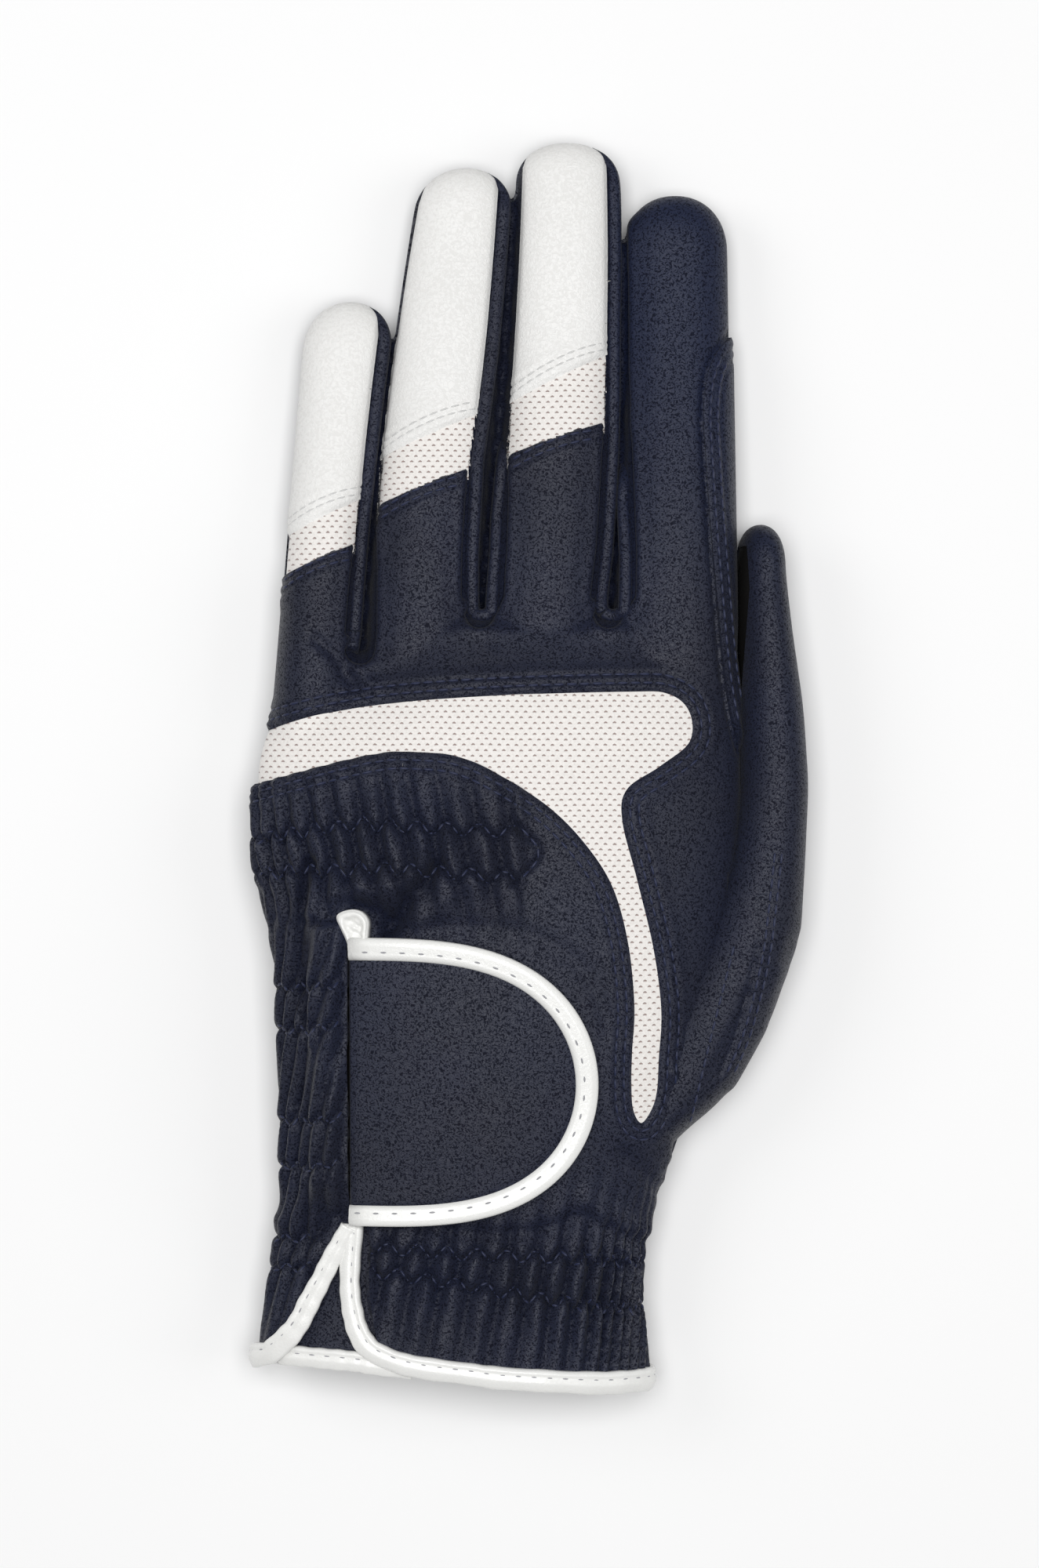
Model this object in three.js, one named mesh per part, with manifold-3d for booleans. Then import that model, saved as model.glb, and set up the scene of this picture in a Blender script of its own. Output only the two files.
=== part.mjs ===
// A left-hand riding glove in navy leather, lying palm down with its back up.
// The back has white leather finger tops, white mesh inserts and a curved mesh window.
// A round tab bound in white closes the bound slit at the wrist.
// Millimetres, +Z up. Fingers point along +Y, the thumb lies on the +X side, and the palm rests on Z = 0.
import * as THREE from "three";
import { mergeVertices } from "three/addons/utils/BufferGeometryUtils.js";
import Module from "manifold-3d";

const wasm = await Module();
wasm.setup();
const { Manifold, Mesh } = wasm;

// Driving sizes of the hand
const hand_length = 142.5; // hem to the crotch of index and middle finger
const hand_width = 86; // across the knuckles
const hand_height = 26; // palm to back over the knuckles
const roundness = 2.3; // exponent of the hand's and fingers' sections
const floor_sink = 0.6; // how far the soft underside is pressed flat
const crotch_drop = 6.5; // the little finger starts this much lower

// Leather, cloth and the gaps between pieces
const wall = 1.3; // leather, lining side to face
const clearance = 0.3; // between two pieces
const finger_gap = 0.9; // between neighbouring fingers
const seam_height_tip = 6; // side seam above the floor at the fingertips
const seam_height_hem = 9.5; // side seam above the floor at the hem

// Fingers
const index_length = 79.4;
const middle_length = 89.2;
const ring_length = 84.4;
const little_length = 66.3;
const finger_height_base = 19;
const finger_height_tip = 13;
const finger_rooting = 15; // how far a finger's tube runs into the hand
const finger_squareness = 2.2; // exponent of the tips' rounding in plan
const finger_flatness = 0.8; // the tips thin down this much less than they narrow
const top_cover = 0.8; // share of a finger's width that its top panel covers
const side_cover = 1.3; // and where the panel wraps round the hand's side
const seam_reach = 8; // how far a top panel's outline runs past the longest tip
const gusset_foot = 2.2; // half width of a gusset's round foot

// Thumb
const thumb_length = 161; // hem to thumb tip
const thumb_height = 19;
const thumb_gap = 0.6;
const thumb_inset_low = 124; // knit inset in the thumb's side, by the index finger
const thumb_inset_high = 157;
const thumb_inset_width = 1.6;
const thumb_inset_floor = 4;

// Closure, slit and bindings
const slit_across = -28; // the slit's place, from the hand's axis
const slit_top = 85.5;
const slit_fork = 29.5; // where the slit's two edges part, above the hem
const slit_flare_left = 18.5; // how far the left edge swings out at the hem
const slit_flare_right = 7;
const slit_bend_left = 1.7; // exponents of the two swings
const slit_bend_right = 5;
const slit_half = 0.5; // half the slit's width
const binding_width = 3.2;
const binding_proud = 0.7; // how far a binding stands off the leather
const tab_length = 45; // along the wrist, straight end to round end
const tab_width = 54.4;
const tab_low = 30.2; // the tab's lower edge above the hem
const tab_round = 0.62; // share of the tab's length that its round end takes
const tab_fullness = 0.9; // exponent of the round end
const tab_thickness = 1.6;
const tab_binding_width = 3.7;
const tab_rim_proud = 0.4;
const pad_thickness = 1.2;
const pad_length = 22;
const pad_width = 34;
const pad_place = 0.55; // share of the tab's length from its straight end
const fold_width = 7; // leather fold that the tab comes out from under
const fold_height = 3.6;
const fold_past_tab = 3; // how far it runs up beyond the tab
const fold_root = 1; // how deep it sits in the leather
const loop_width = 5.6;
const loop_length = 6;
const underlap_margin = 3;
const underlap_past_fork = 4;
const hem_rise = 4; // the hem is this much higher at the little finger's side
const hem_rise_reach = 45; // and level again this far up

// Index side strip, gathers
const strip_width = 4.6;
const strip_low = 118;
const strip_high = 194;
const rib_pitch = 6.4;
const rib_height = 1;
const rib_fade_across = 2.5; // how softly a gathered zone ends, to its sides
const rib_fade_along = 3; // and up and down the hand

// Reach of the cutting bodies below and above the glove
const under = -5;
const over = 60;

const navy = new THREE.MeshStandardMaterial({ color: 0x20263a, roughness: 0.55, metalness: 0 });
const navy_palm = new THREE.MeshStandardMaterial({ color: 0x1d2233, roughness: 0.6, metalness: 0 });
const white_leather = new THREE.MeshStandardMaterial({ color: 0xf0eee9, roughness: 0.5, metalness: 0 });
const white_mesh = new THREE.MeshStandardMaterial({ color: 0xe7e2dc, roughness: 0.85, metalness: 0 });
const white_binding = new THREE.MeshStandardMaterial({ color: 0xf6f5f1, roughness: 0.35, metalness: 0 });
const dark_knit = new THREE.MeshStandardMaterial({ color: 0x17181c, roughness: 0.9, metalness: 0 });

// Borders between the fingers, little finger's outside first, as shares of the hand's width from its axis:
// at the crotch line and one reach further up.
const reach = 80;
const borders = [
  { crotch: -0.49, far: -0.415, bow: 0 },
  { crotch: -0.31, far: -0.19, bow: -0.005 },
  { crotch: -0.06, far: 0.014, bow: 0.01 },
  { crotch: 0.217, far: 0.247, bow: 0.014 },
  { crotch: 0.49, far: 0.477, bow: 0 },
];

// Fingers, with the heights of their two cross seams as shares of the length, left and right side
const fingers = [
  {
    name: "little", length: little_length, start: hand_length - crotch_drop, tip_round: 1.15,
    cloth: { left: 0.222, right: 0.311 }, leather: { left: 0.362, right: 0.465 },
  },
  {
    name: "ring", length: ring_length, start: hand_length, tip_round: 0.95,
    cloth: { left: 0.254, right: 0.328 }, leather: { left: 0.387, right: 0.453 },
  },
  {
    name: "middle", length: middle_length, start: hand_length, tip_round: 0.8,
    cloth: { left: 0.342, right: 0.414 }, leather: { left: 0.461, right: 0.555 },
  },
  { name: "index", length: index_length, start: hand_length, tip_round: 1.1 },
];
for (const finger of fingers) finger.tip = finger.start + finger.length;
const fore_tip = Math.max(...fingers.map((finger) => finger.tip));

// Sections of the hand, hem first: shares of the hand's length, width from the axis, and height
const hand_sections = [
  { along: 0, left: -0.535, right: 0.318, top: 0.86 },
  { along: 0.05, left: -0.528, right: 0.308, top: 0.85 },
  { along: 0.13, left: -0.507, right: 0.296, top: 0.82 },
  { along: 0.19, left: -0.495, right: 0.305, top: 0.83 },
  { along: 0.26, left: -0.484, right: 0.34, top: 0.87 },
  { along: 0.34, left: -0.488, right: 0.385, top: 0.92 },
  { along: 0.45, left: -0.492, right: 0.43, top: 0.97 },
  { along: 0.55, left: -0.496, right: 0.465, top: 1 },
  { along: 0.66, left: -0.515, right: 0.492, top: 1.02 },
  { along: 0.76, left: -0.528, right: 0.504, top: 1.02 },
  { along: 0.86, left: -0.53, right: 0.502, top: 0.98 },
  { along: 0.93, left: -0.503, right: 0.494, top: 0.88 },
  { along: 0.98, left: -0.492, right: 0.49, top: 0.76 },
];
const end_sections = [
  { beyond: 0.55, shrink: 0.9 },
  { beyond: 0.9, shrink: 0.6 },
];
const hand_end_radius = 5; // how far the hand's rounded end reaches past its last section
const hand_end_narrowing = 0.06;
const drop_zone = { from: 0.12, to: 0.3 }; // shares of the width over which the crotches step down

// Sections of the thumb, as shares of its length and of the hand's width: edges, height and lean
const thumb_sections = [
  { along: 0.29, left: 0.2, right: 0.36, top: 0.95, lean: 0 },
  { along: 0.34, left: 0.25, right: 0.475, top: 1.02, lean: 0 },
  { along: 0.43, left: 0.32, right: 0.568, top: 1.08, lean: 0.04 },
  { along: 0.52, left: 0.4, right: 0.632, top: 1.12, lean: 0.08 },
  { along: 0.61, left: 0.46, right: 0.641, top: 1.08, lean: 0.1 },
  { along: 0.7, left: 0.506, right: 0.648, top: 1.04, lean: 0.12 },
  { along: 0.79, left: 0.508, right: 0.637, top: 1, lean: 0.12 },
  { along: 0.88, left: 0.507, right: 0.612, top: 0.98, lean: 0.12 },
  { along: 0.95, left: 0.507, right: 0.598, top: 0.9, lean: 0.12 },
];

// Window in the back that shows the mesh, clockwise from its upper left corner:
// shares of the hand's width from its axis and of the hand's length from the hem
const window_outline = [
  { across: -0.6, along: 0.848 },
  { across: -0.348, along: 0.888 },
  { across: -0.078, along: 0.904 },
  { across: 0.259, along: 0.911 },
  { across: 0.352, along: 0.909 },
  { across: 0.4, along: 0.885 },
  { across: 0.4, along: 0.845 },
  { across: 0.335, along: 0.815 },
  { across: 0.264, along: 0.785 },
  { across: 0.253, along: 0.745 },
  { across: 0.285, along: 0.67 },
  { across: 0.32, along: 0.58 },
  { across: 0.337, along: 0.5 },
  { across: 0.333, along: 0.435 },
  { across: 0.312, along: 0.364 },
  { across: 0.285, along: 0.347 },
  { across: 0.265, along: 0.364 },
  { across: 0.266, along: 0.435 },
  { across: 0.273, along: 0.507 },
  { across: 0.259, along: 0.588 },
  { across: 0.226, along: 0.66 },
  { across: 0.167, along: 0.715 },
  { across: 0.091, along: 0.762 },
  { across: -0.01, along: 0.802 },
  { across: -0.094, along: 0.825 },
  { across: -0.179, along: 0.832 },
  { across: -0.3, along: 0.828 },
  { across: -0.6, along: 0.782 },
];

// Gathered zones on the back: shares of the hand's length and width
const gathers = [
  { low: 0.65, high: 0.75, left: -0.52, right: 0.07 },
  { low: 0.24, high: 0.6, left: -0.5, right: -0.42 },
  { low: 0.03, high: 0.19, left: -0.26, right: 0.29 },
];

const across = (share) => share * hand_width;
const along = (share) => share * hand_length;
const smooth = (x, low, high) => THREE.MathUtils.smoothstep(x, low, high);

// A zone's weight at a place, fading out past its ends
function within(x, low, high, fade) {
  return smooth(x, low - fade, low + fade) * (1 - smooth(x, high - fade, high + fade));
}

function gatherHeight(x, y) {
  let weight = 0;
  for (const g of gathers) {
    const sideways = within(x, across(g.left), across(g.right), rib_fade_across);
    const lengthways = within(y, along(g.low), along(g.high), rib_fade_along);
    weight = Math.max(weight, sideways * lengthways);
  }
  return weight * rib_height * (0.5 - 0.5 * Math.cos((2 * Math.PI * x) / rib_pitch));
}

// One ring of a tube: a rounded section between two edges, standing on the floor
function ring({ y, left, right, bottom, top, lean = 0, upper, lower, drop = 0, relief = null }) {
  const points = [];
  const centre = (left + right) / 2;
  const half = (right - left) / 2;
  const middle = (top + bottom) / 2;
  const rise = (top - bottom) / 2;
  for (let i = 0; i < upper + lower; i++) {
    const angle = i < upper ? Math.PI * (1 - i / upper) : -Math.PI * ((i - upper) / lower);
    const c = Math.cos(angle);
    const s = Math.sin(angle);
    let x = centre + half * Math.sign(c) * Math.abs(c) ** (2 / roundness);
    let z = middle + rise * Math.sign(s) * Math.abs(s) ** (2 / roundness);
    x += lean * (z - middle);
    const sideways = (x - centre) / hand_width;
    const back = y - drop * smooth(-sideways, drop_zone.from, drop_zone.to);
    if (relief && s > 0) z += relief(x, back) * Math.min(1, 2 * s);
    points.push(new THREE.Vector3(x, back, z));
  }
  return points;
}

// A closed tube through rings of equal size, its ends closed flat
function loft(rings) {
  const count = rings[0].length;
  const positions = rings.flat().flatMap((p) => [p.x, p.y, p.z]);
  const index = [];
  for (let r = 0; r < rings.length - 1; r++) {
    for (let i = 0; i < count; i++) {
      const a = r * count + i;
      const b = r * count + ((i + 1) % count);
      index.push(a, b, a + count, b, b + count, a + count);
    }
  }
  for (const [r, flip] of [[0, true], [rings.length - 1, false]]) {
    const middle = rings[r].reduce((sum, p) => sum.add(p), new THREE.Vector3()).divideScalar(count);
    positions.push(middle.x, middle.y, middle.z);
    const hub = positions.length / 3 - 1;
    for (let i = 0; i < count; i++) {
      const a = r * count + i;
      const b = r * count + ((i + 1) % count);
      index.push(...(flip ? [hub, b, a] : [hub, a, b]));
    }
  }
  const geometry = new THREE.BufferGeometry();
  geometry.setAttribute("position", new THREE.Float32BufferAttribute(positions, 3));
  geometry.setIndex(index);
  return geometry;
}

function solidOf(geometry) {
  const bare = geometry.clone();
  bare.deleteAttribute("normal");
  bare.deleteAttribute("uv");
  const merged = mergeVertices(bare, 1e-4);
  return new Manifold(
    new Mesh({
      numProp: 3,
      vertProperties: new Float32Array(merged.attributes.position.array),
      triVerts: new Uint32Array(merged.index.array),
    }),
  );
}

const union = (solids) => solids.reduce((all, solid) => all.add(solid));

// The biggest body of a cut, without the crumbs beside it
function mainBody(solid) {
  const bodies = solid.decompose();
  return bodies.reduce((best, body) => (body.volume() > best.volume() ? body : best));
}

function block(low, high) {
  const size = new THREE.Vector3().subVectors(high, low);
  const geometry = new THREE.BoxGeometry(size.x, size.y, size.z);
  geometry.translate((low.x + high.x) / 2, (low.y + high.y) / 2, (low.z + high.z) / 2);
  return solidOf(geometry);
}

const far = 2 * (hand_length + middle_length);
const above = (z) => block(new THREE.Vector3(-far, -far, z), new THREE.Vector3(far, far, far));

// The side of the sloping side seam that belongs to the back
function aboveSeam(shift) {
  const slope = Math.atan2(seam_height_tip - seam_height_hem, fore_tip);
  const geometry = new THREE.BoxGeometry(far, far, far);
  geometry.translate(0, 0, far / 2);
  geometry.rotateX(slope);
  geometry.translate(0, 0, seam_height_hem + shift);
  return solidOf(geometry);
}

// Values from one to another in equal steps, both ends included
const evenly = (from, to, steps) =>
  Array.from({ length: steps + 1 }, (_, k) => THREE.MathUtils.lerp(from, to, k / steps));

// A plan outline, raised as a prism
function prism(points) {
  const geometry = new THREE.ExtrudeGeometry(new THREE.Shape(points), {
    depth: over - under,
    bevelEnabled: false,
  });
  geometry.translate(0, 0, under);
  return solidOf(geometry);
}

// Hand, grown by an offset; the inside is smooth and drawn with fewer faces
function handSolid(offset, fine) {
  const counts = fine ? { upper: 30, lower: 8 } : { upper: 10, lower: 6 };
  const relief = fine ? gatherHeight : null;
  const rings = [];
  const step = fine ? 9 : 20;
  const last = hand_sections.at(-1);
  const length = along(last.along);
  const steps = Math.round(length / step);
  for (let i = 0; i <= steps; i++) {
    const y = (length * i) / steps;
    rings.push({ ...handEdges(y), y, drop: crotch_drop * smooth(y, 0.6 * length, length), relief });
  }
  const end = handEdges(length);
  for (const { beyond, shrink } of end_sections) {
    const middle = end.top / 2;
    rings.push({
      y: length + beyond * (hand_end_radius + offset),
      left: end.left * (1 - hand_end_narrowing * beyond),
      right: end.right * (1 - hand_end_narrowing * beyond),
      top: middle + (end.top - middle) * shrink,
      drop: crotch_drop,
      low: middle * (1 - shrink),
    });
  }
  const solid = solidOf(
    loft(
      rings.map((r, i) =>
        ring({
          ...counts,
          ...r,
          y: i === 0 ? (fine ? 0 : -10) : r.y,
          left: r.left - offset,
          right: r.right + offset,
          top: r.top + offset,
          bottom: (r.low ?? 0) - floor_sink - offset,
        }),
      ),
    ),
  );
  return solid;
}

// The hand's edges and height at a distance from the hem
function handEdges(y) {
  const share = y / hand_length;
  let i = hand_sections.findIndex((s) => s.along >= share);
  if (i < 0) i = hand_sections.length - 1;
  const b = hand_sections[i];
  const a = hand_sections[Math.max(0, i - 1)];
  const t = b === a ? 0 : (share - a.along) / (b.along - a.along);
  const mix = (key) => THREE.MathUtils.lerp(a[key], b[key], t);
  return { left: across(mix("left")), right: across(mix("right")), top: hand_height * mix("top") };
}

function borderAt(i, y) {
  const t = (y - hand_length) / reach;
  const bow = borders[i].bow * 4 * t * (1 - t);
  return across(THREE.MathUtils.lerp(borders[i].crotch, borders[i].far, t) + bow);
}

// A finger's edges at a distance from the hem, without the rounding of its tip
function fingerEdges(i, y) {
  const left = borderAt(i, y) + (i === 0 ? 0 : finger_gap / 2);
  const right = borderAt(i + 1, y) - (i === 3 ? 0 : finger_gap / 2);
  return { left, right, centre: (left + right) / 2, half: (right - left) / 2 };
}

// How much of the full width is left at a distance before the tip
function tipShare(y, tip, round) {
  const inside = THREE.MathUtils.clamp((tip - y) / round, 0, 1);
  return (1 - (1 - inside) ** finger_squareness) ** (1 / finger_squareness);
}

function fingerSolid(i, offset, fine) {
  const finger = fingers[i];
  const tip = finger.tip + offset;
  const { half } = fingerEdges(i, finger.tip);
  const round = half * finger.tip_round + offset;
  const root = finger.start - finger_rooting;
  const straight = fine ? 4 : 2;
  const stops = [];
  for (let k = 0; k <= straight; k++) stops.push(root + ((tip - round - root) * k) / straight);
  for (const part of fine ? [0.4, 0.7, 0.88, 0.975] : [0.6, 0.93]) stops.push(tip - round + round * part);
  const rings = stops.map((y) => {
    const edges = fingerEdges(i, y);
    const width = (edges.half + offset) * tipShare(y, tip, round);
    const t = THREE.MathUtils.clamp((y - finger.start) / finger.length, 0, 1);
    const full = THREE.MathUtils.lerp(finger_height_base, finger_height_tip, smooth(t, -0.1, 1));
    const middle = full / 2;
    const rise = (middle + offset) * tipShare(y, tip, round) ** finger_flatness;
    return ring({
      y,
      left: edges.centre - width,
      right: edges.centre + width,
      bottom: middle - rise - floor_sink,
      top: middle + rise,
      upper: fine ? 10 : 6,
      lower: fine ? 6 : 4,
    });
  });
  return solidOf(loft(rings));
}

function thumbSolid(offset, fine) {
  const tip = thumb_length + offset;
  const last = thumb_sections.at(-1);
  const rings = thumb_sections.map((s) => ({ ...s, y: s.along * thumb_length }));
  for (const part of fine ? [0.4, 0.75, 0.95] : [0.5, 0.9]) {
    const y = THREE.MathUtils.lerp(last.along * thumb_length, tip, part);
    const share = (1 - part ** finger_squareness) ** (1 / finger_squareness);
    const centre = (last.left + last.right) / 2;
    const half = ((last.right - last.left) / 2) * share;
    rings.push({ ...last, y, left: centre - half, right: centre + half, shrink: share });
  }
  return solidOf(
    loft(
      rings.map(({ y, left, right, top, lean, shrink = 1 }) => {
        const middle = (thumb_height * top) / 2;
        const rise = (middle + offset) * shrink ** finger_flatness;
        return ring({
          y,
          left: across(left) + thumb_gap - offset * shrink,
          right: across(right) + offset * shrink,
          bottom: middle - rise - floor_sink,
          top: middle + rise,
          lean,
          upper: fine ? 10 : 6,
          lower: fine ? 8 : 6,
        });
      }),
    ),
  );
}

const floor = above(0);
const lining_floor = above(wall);

function form(offset, fine) {
  const parts = [handSolid(offset, fine)];
  for (let i = 0; i < fingers.length; i++) parts.push(fingerSolid(i, offset, fine));
  return union(parts);
}

const outer = form(0, true).intersect(floor);
const hollow = form(-wall, false).intersect(lining_floor);
const thumb_outer = thumbSolid(0, true).intersect(floor);
const thumb_hollow = thumbSolid(-wall, false).intersect(lining_floor);
const shell = outer.subtract(hollow).subtract(thumb_hollow);
const back_shell = shell.intersect(aboveSeam(clearance / 2));

// A layer over the hand between two distances from its face
function handLayer(low, high) {
  return handSolid(high, true).subtract(handSolid(low, true));
}

// Seams of the top panels

function topBorders(i, grow) {
  const left = (y) => {
    const e = fingerEdges(i, y);
    return e.centre - e.half * (i === 0 ? side_cover : top_cover) - grow;
  };
  const right = (y) => {
    const e = fingerEdges(i, y);
    return e.centre + e.half * (i === 3 ? side_cover : top_cover) + grow;
  };
  return { left, right };
}

// The strip of a finger's back between two cross seams
function topMask(i, low, high, grow = 0) {
  const { left, right } = topBorders(i, grow);
  const border = (side, from, to) =>
    evenly(from - grow, to + grow, 4).map((y) => new THREE.Vector2(side(y), y));
  return prism([...border(right, low.right, high.right), ...border(left, low.left, high.left).reverse()]);
}

const seamAt = (finger, seam) => ({
  left: finger.start + seam.left * finger.length,
  right: finger.start + seam.right * finger.length,
});
const shifted = (seam, by) => ({ left: seam.left + by, right: seam.right + by });
const past_tips = { left: fore_tip + seam_reach, right: fore_tip + seam_reach };

// The gussets between the fingers, each with its foot a little below the crotch
const gussets = [
  { name: "little_ring_gusset", foot_drop: 0.5 },
  { name: "ring_middle_gusset", foot_drop: 1.5 },
  { name: "middle_index_gusset", foot_drop: 1.5 },
];

// A gusset in plan: from its round foot to past the tips
function gussetMask(i, grow = 0) {
  const crotch = Math.min(fingers[i].start, fingers[i + 1].start) - gussets[i].foot_drop;
  const axis = borderAt(i + 1, crotch);
  const left = (y) => topBorders(i, -grow).right(y);
  const right = (y) => topBorders(i + 1, -grow).left(y);
  const foot = crotch + 2 * gusset_foot;
  const points = [];
  for (let k = 0; k <= 5; k++) {
    const angle = Math.PI * (1 + k / 5);
    points.push(
      new THREE.Vector2(
        axis + (gusset_foot + grow) * Math.cos(angle),
        crotch + (gusset_foot + grow) * Math.sin(angle),
      ),
    );
  }
  const levels = evenly(foot, past_tips.left, 5);
  points.push(...levels.map((y) => new THREE.Vector2(right(y), y)));
  points.push(...levels.reverse().map((y) => new THREE.Vector2(left(y), y)));
  return prism(points);
}

function windowMask(grow = 0) {
  const curve = new THREE.SplineCurve(
    window_outline.map((p) => new THREE.Vector2(across(p.across), along(p.along))),
  );
  const points = curve.getPoints(38);
  if (!grow) return prism(points);
  const grown = points.map((p, k) => {
    const a = points[Math.max(0, k - 1)];
    const b = points[Math.min(points.length - 1, k + 1)];
    const side = new THREE.Vector2(b.y - a.y, a.x - b.x).normalize();
    return p.clone().addScaledVector(side, -grow);
  });
  return prism(grown);
}

// Slit at the wrist: two edges that part below the fork, swinging out to the hem
function slitEdge(side, shift) {
  const flare = side < 0 ? slit_flare_left : slit_flare_right;
  const bend = side < 0 ? slit_bend_left : slit_bend_right;
  return evenly(0, 1, 7).map((t) => {
    const swing = slit_half + shift + flare * t ** bend;
    return new THREE.Vector2(slit_across + side * swing, slit_fork * (1 - t) - 0.01);
  });
}

function slitMask(shift) {
  const left = slitEdge(-1, shift);
  const right = slitEdge(1, shift);
  const top = slit_top + shift;
  return prism([
    new THREE.Vector2(slit_across + slit_half + shift, top),
    new THREE.Vector2(slit_across - slit_half - shift, top),
    ...left,
    new THREE.Vector2(left.at(-1).x, under),
    new THREE.Vector2(right.at(-1).x, under),
    ...right.reverse(),
  ]);
}

// The round-ended tab in plan: a straight end at the slit, two straight sides and a round end
function tabOutline(inset) {
  const start = slit_across + slit_half + clearance;
  const low = tab_low + inset;
  const high = tab_low + tab_width - inset;
  const middle = (low + high) / 2;
  const half = (high - low) / 2;
  const reach_x = Math.min(tab_round * tab_length, half) - inset;
  const bend = slit_across + tab_length - reach_x - inset;
  const points = [new THREE.Vector2(start, low)];
  for (let k = 0; k <= 12; k++) {
    const angle = -Math.PI / 2 + (Math.PI * k) / 12;
    points.push(new THREE.Vector2(bend + reach_x * Math.cos(angle) ** tab_fullness, middle + half * Math.sin(angle)));
  }
  points.push(new THREE.Vector2(start, high));
  return points;
}

// The hem isn't square to the hand: it rises towards the little finger's side
function hemDrape(x, y) {
  return hem_rise * (1 - smooth(y, under, hem_rise_reach)) * smooth(-x, -across(0.32), across(0.5));
}

const glove = new THREE.Group();

function add(name, solid, material) {
  const body = mainBody(solid);
  const made = body.getMesh();
  const places = made.vertProperties;
  for (let v = 0; v < places.length; v += 3) places[v + 1] += hemDrape(places[v], places[v + 1]);
  const geometry = new THREE.BufferGeometry();
  geometry.setAttribute("position", new THREE.BufferAttribute(places, 3));
  geometry.setIndex(new THREE.BufferAttribute(made.triVerts, 1));
  const mesh = new THREE.Mesh(geometry, material);
  mesh.name = name;
  glove.add(mesh);
  return body;
}

// Hem band, cut off every panel
const hem_strip = block(new THREE.Vector3(-far, under, under), new THREE.Vector3(far, binding_width, over));
const above_hem = block(
  new THREE.Vector3(-far, binding_width + clearance, under),
  new THREE.Vector3(far, far, over),
);

// Palm with the finger fronts
const palm = shell.subtract(aboveSeam(-clearance / 2)).intersect(above_hem);
add("palm_panel", palm, navy_palm);

// Thumb: its tube stops at the hand
const thumb_shell = thumb_outer.subtract(thumb_hollow).subtract(handSolid(clearance, true));
const inset_left = across(thumb_sections.at(-1).left) + thumb_gap;
const insetMask = (grow) =>
  block(
    new THREE.Vector3(inset_left - thumb_height, thumb_inset_low - grow, thumb_inset_floor - grow),
    new THREE.Vector3(inset_left + thumb_inset_width + grow, thumb_inset_high + grow, over),
  );
add("thumb", thumb_shell.subtract(insetMask(clearance)), navy);
add("thumb_inset", thumb_shell.intersect(insetMask(0)), dark_knit);

// Finger tops in white leather over mesh
const masks = [];
fingers.slice(0, 3).forEach((finger, i) => {
  const cloth = seamAt(finger, finger.cloth);
  const leather = seamAt(finger, finger.leather);
  const cloth_top = shifted(leather, -clearance);
  add(`${finger.name}_top`, back_shell.intersect(topMask(i, leather, past_tips)), white_leather);
  add(`${finger.name}_mesh`, back_shell.intersect(topMask(i, cloth, cloth_top)), white_mesh);
  masks.push(topMask(i, cloth, past_tips, clearance));
});

// Gussets between the fingers
gussets.forEach(({ name }, i) => {
  add(name, back_shell.intersect(gussetMask(i)).subtract(masks[i]).subtract(masks[i + 1] ?? masks[i]), navy);
  masks.push(gussetMask(i, clearance));
});

// Mesh in the window of the back
add("back_mesh", back_shell.intersect(windowMask()), white_mesh);
masks.push(windowMask(clearance));

// Strip lapped over the side of the index finger
const stripMask = (grow) => {
  const left = (y) => borderAt(4, y) - strip_width - grow;
  const right = (y) => borderAt(4, y) + strip_width;
  const low = strip_low - grow;
  const high = strip_high + grow;
  return prism([
    new THREE.Vector2(right(low), low),
    new THREE.Vector2(right(high), high + strip_width / 2),
    new THREE.Vector2(left(high), high - strip_width / 2),
    new THREE.Vector2(left(low) + strip_width / 2, low),
  ]);
};
add("index_side_strip", back_shell.intersect(stripMask(0)), navy);
masks.push(stripMask(clearance));

// Back, in one piece, with the leather fold along the slit
const slit_room = slitMask(binding_width + clearance);
const fold_low = Math.max(tab_low, slit_fork + 2 * clearance);
const fold_rings = evenly(0, 1, 8).map((t) => {
  const y = THREE.MathUtils.lerp(fold_low, tab_low + tab_width + fold_past_tab, t);
  const edges = handEdges(y);
  const middle = slit_across - slit_half - binding_width / 2 - fold_width / 2;
  const share = Math.abs(middle - (edges.left + edges.right) / 2) / ((edges.right - edges.left) / 2);
  const height = (edges.top / 2) * (1 - share ** roundness) ** (1 / roundness) + edges.top / 2;
  const swell = Math.sin(Math.PI * THREE.MathUtils.clamp(t, 0.06, 0.94)) ** 0.4;
  return ring({
    y,
    left: middle - (fold_width / 2) * swell,
    right: middle + (fold_width / 2 + binding_width / 2) * swell,
    bottom: height - fold_root,
    top: height + fold_height * swell,
    upper: 6,
    lower: 3,
  });
});
const fold = solidOf(loft(fold_rings)).subtract(hollow).subtract(slitMask(clearance));
let back = back_shell.intersect(above_hem);
for (const mask of masks) back = back.subtract(mask);
const loopOutline = (grow) => {
  const middle = slit_across + slit_half;
  const half = loop_width / 2 + grow;
  const low = slit_top - loop_length / 2 - grow;
  const arch = evenly(0, Math.PI, 8).map(
    (angle) => new THREE.Vector2(middle + half * Math.cos(angle), slit_top + half * Math.sin(angle)),
  );
  return [...arch, new THREE.Vector2(middle - half, low), new THREE.Vector2(middle + half, low)];
};
back = back.subtract(slit_room).add(fold.subtract(prism(loopOutline(clearance))));
back = back.subtract(prism(loopOutline(clearance)));
add("back_panel", back, navy);

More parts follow.
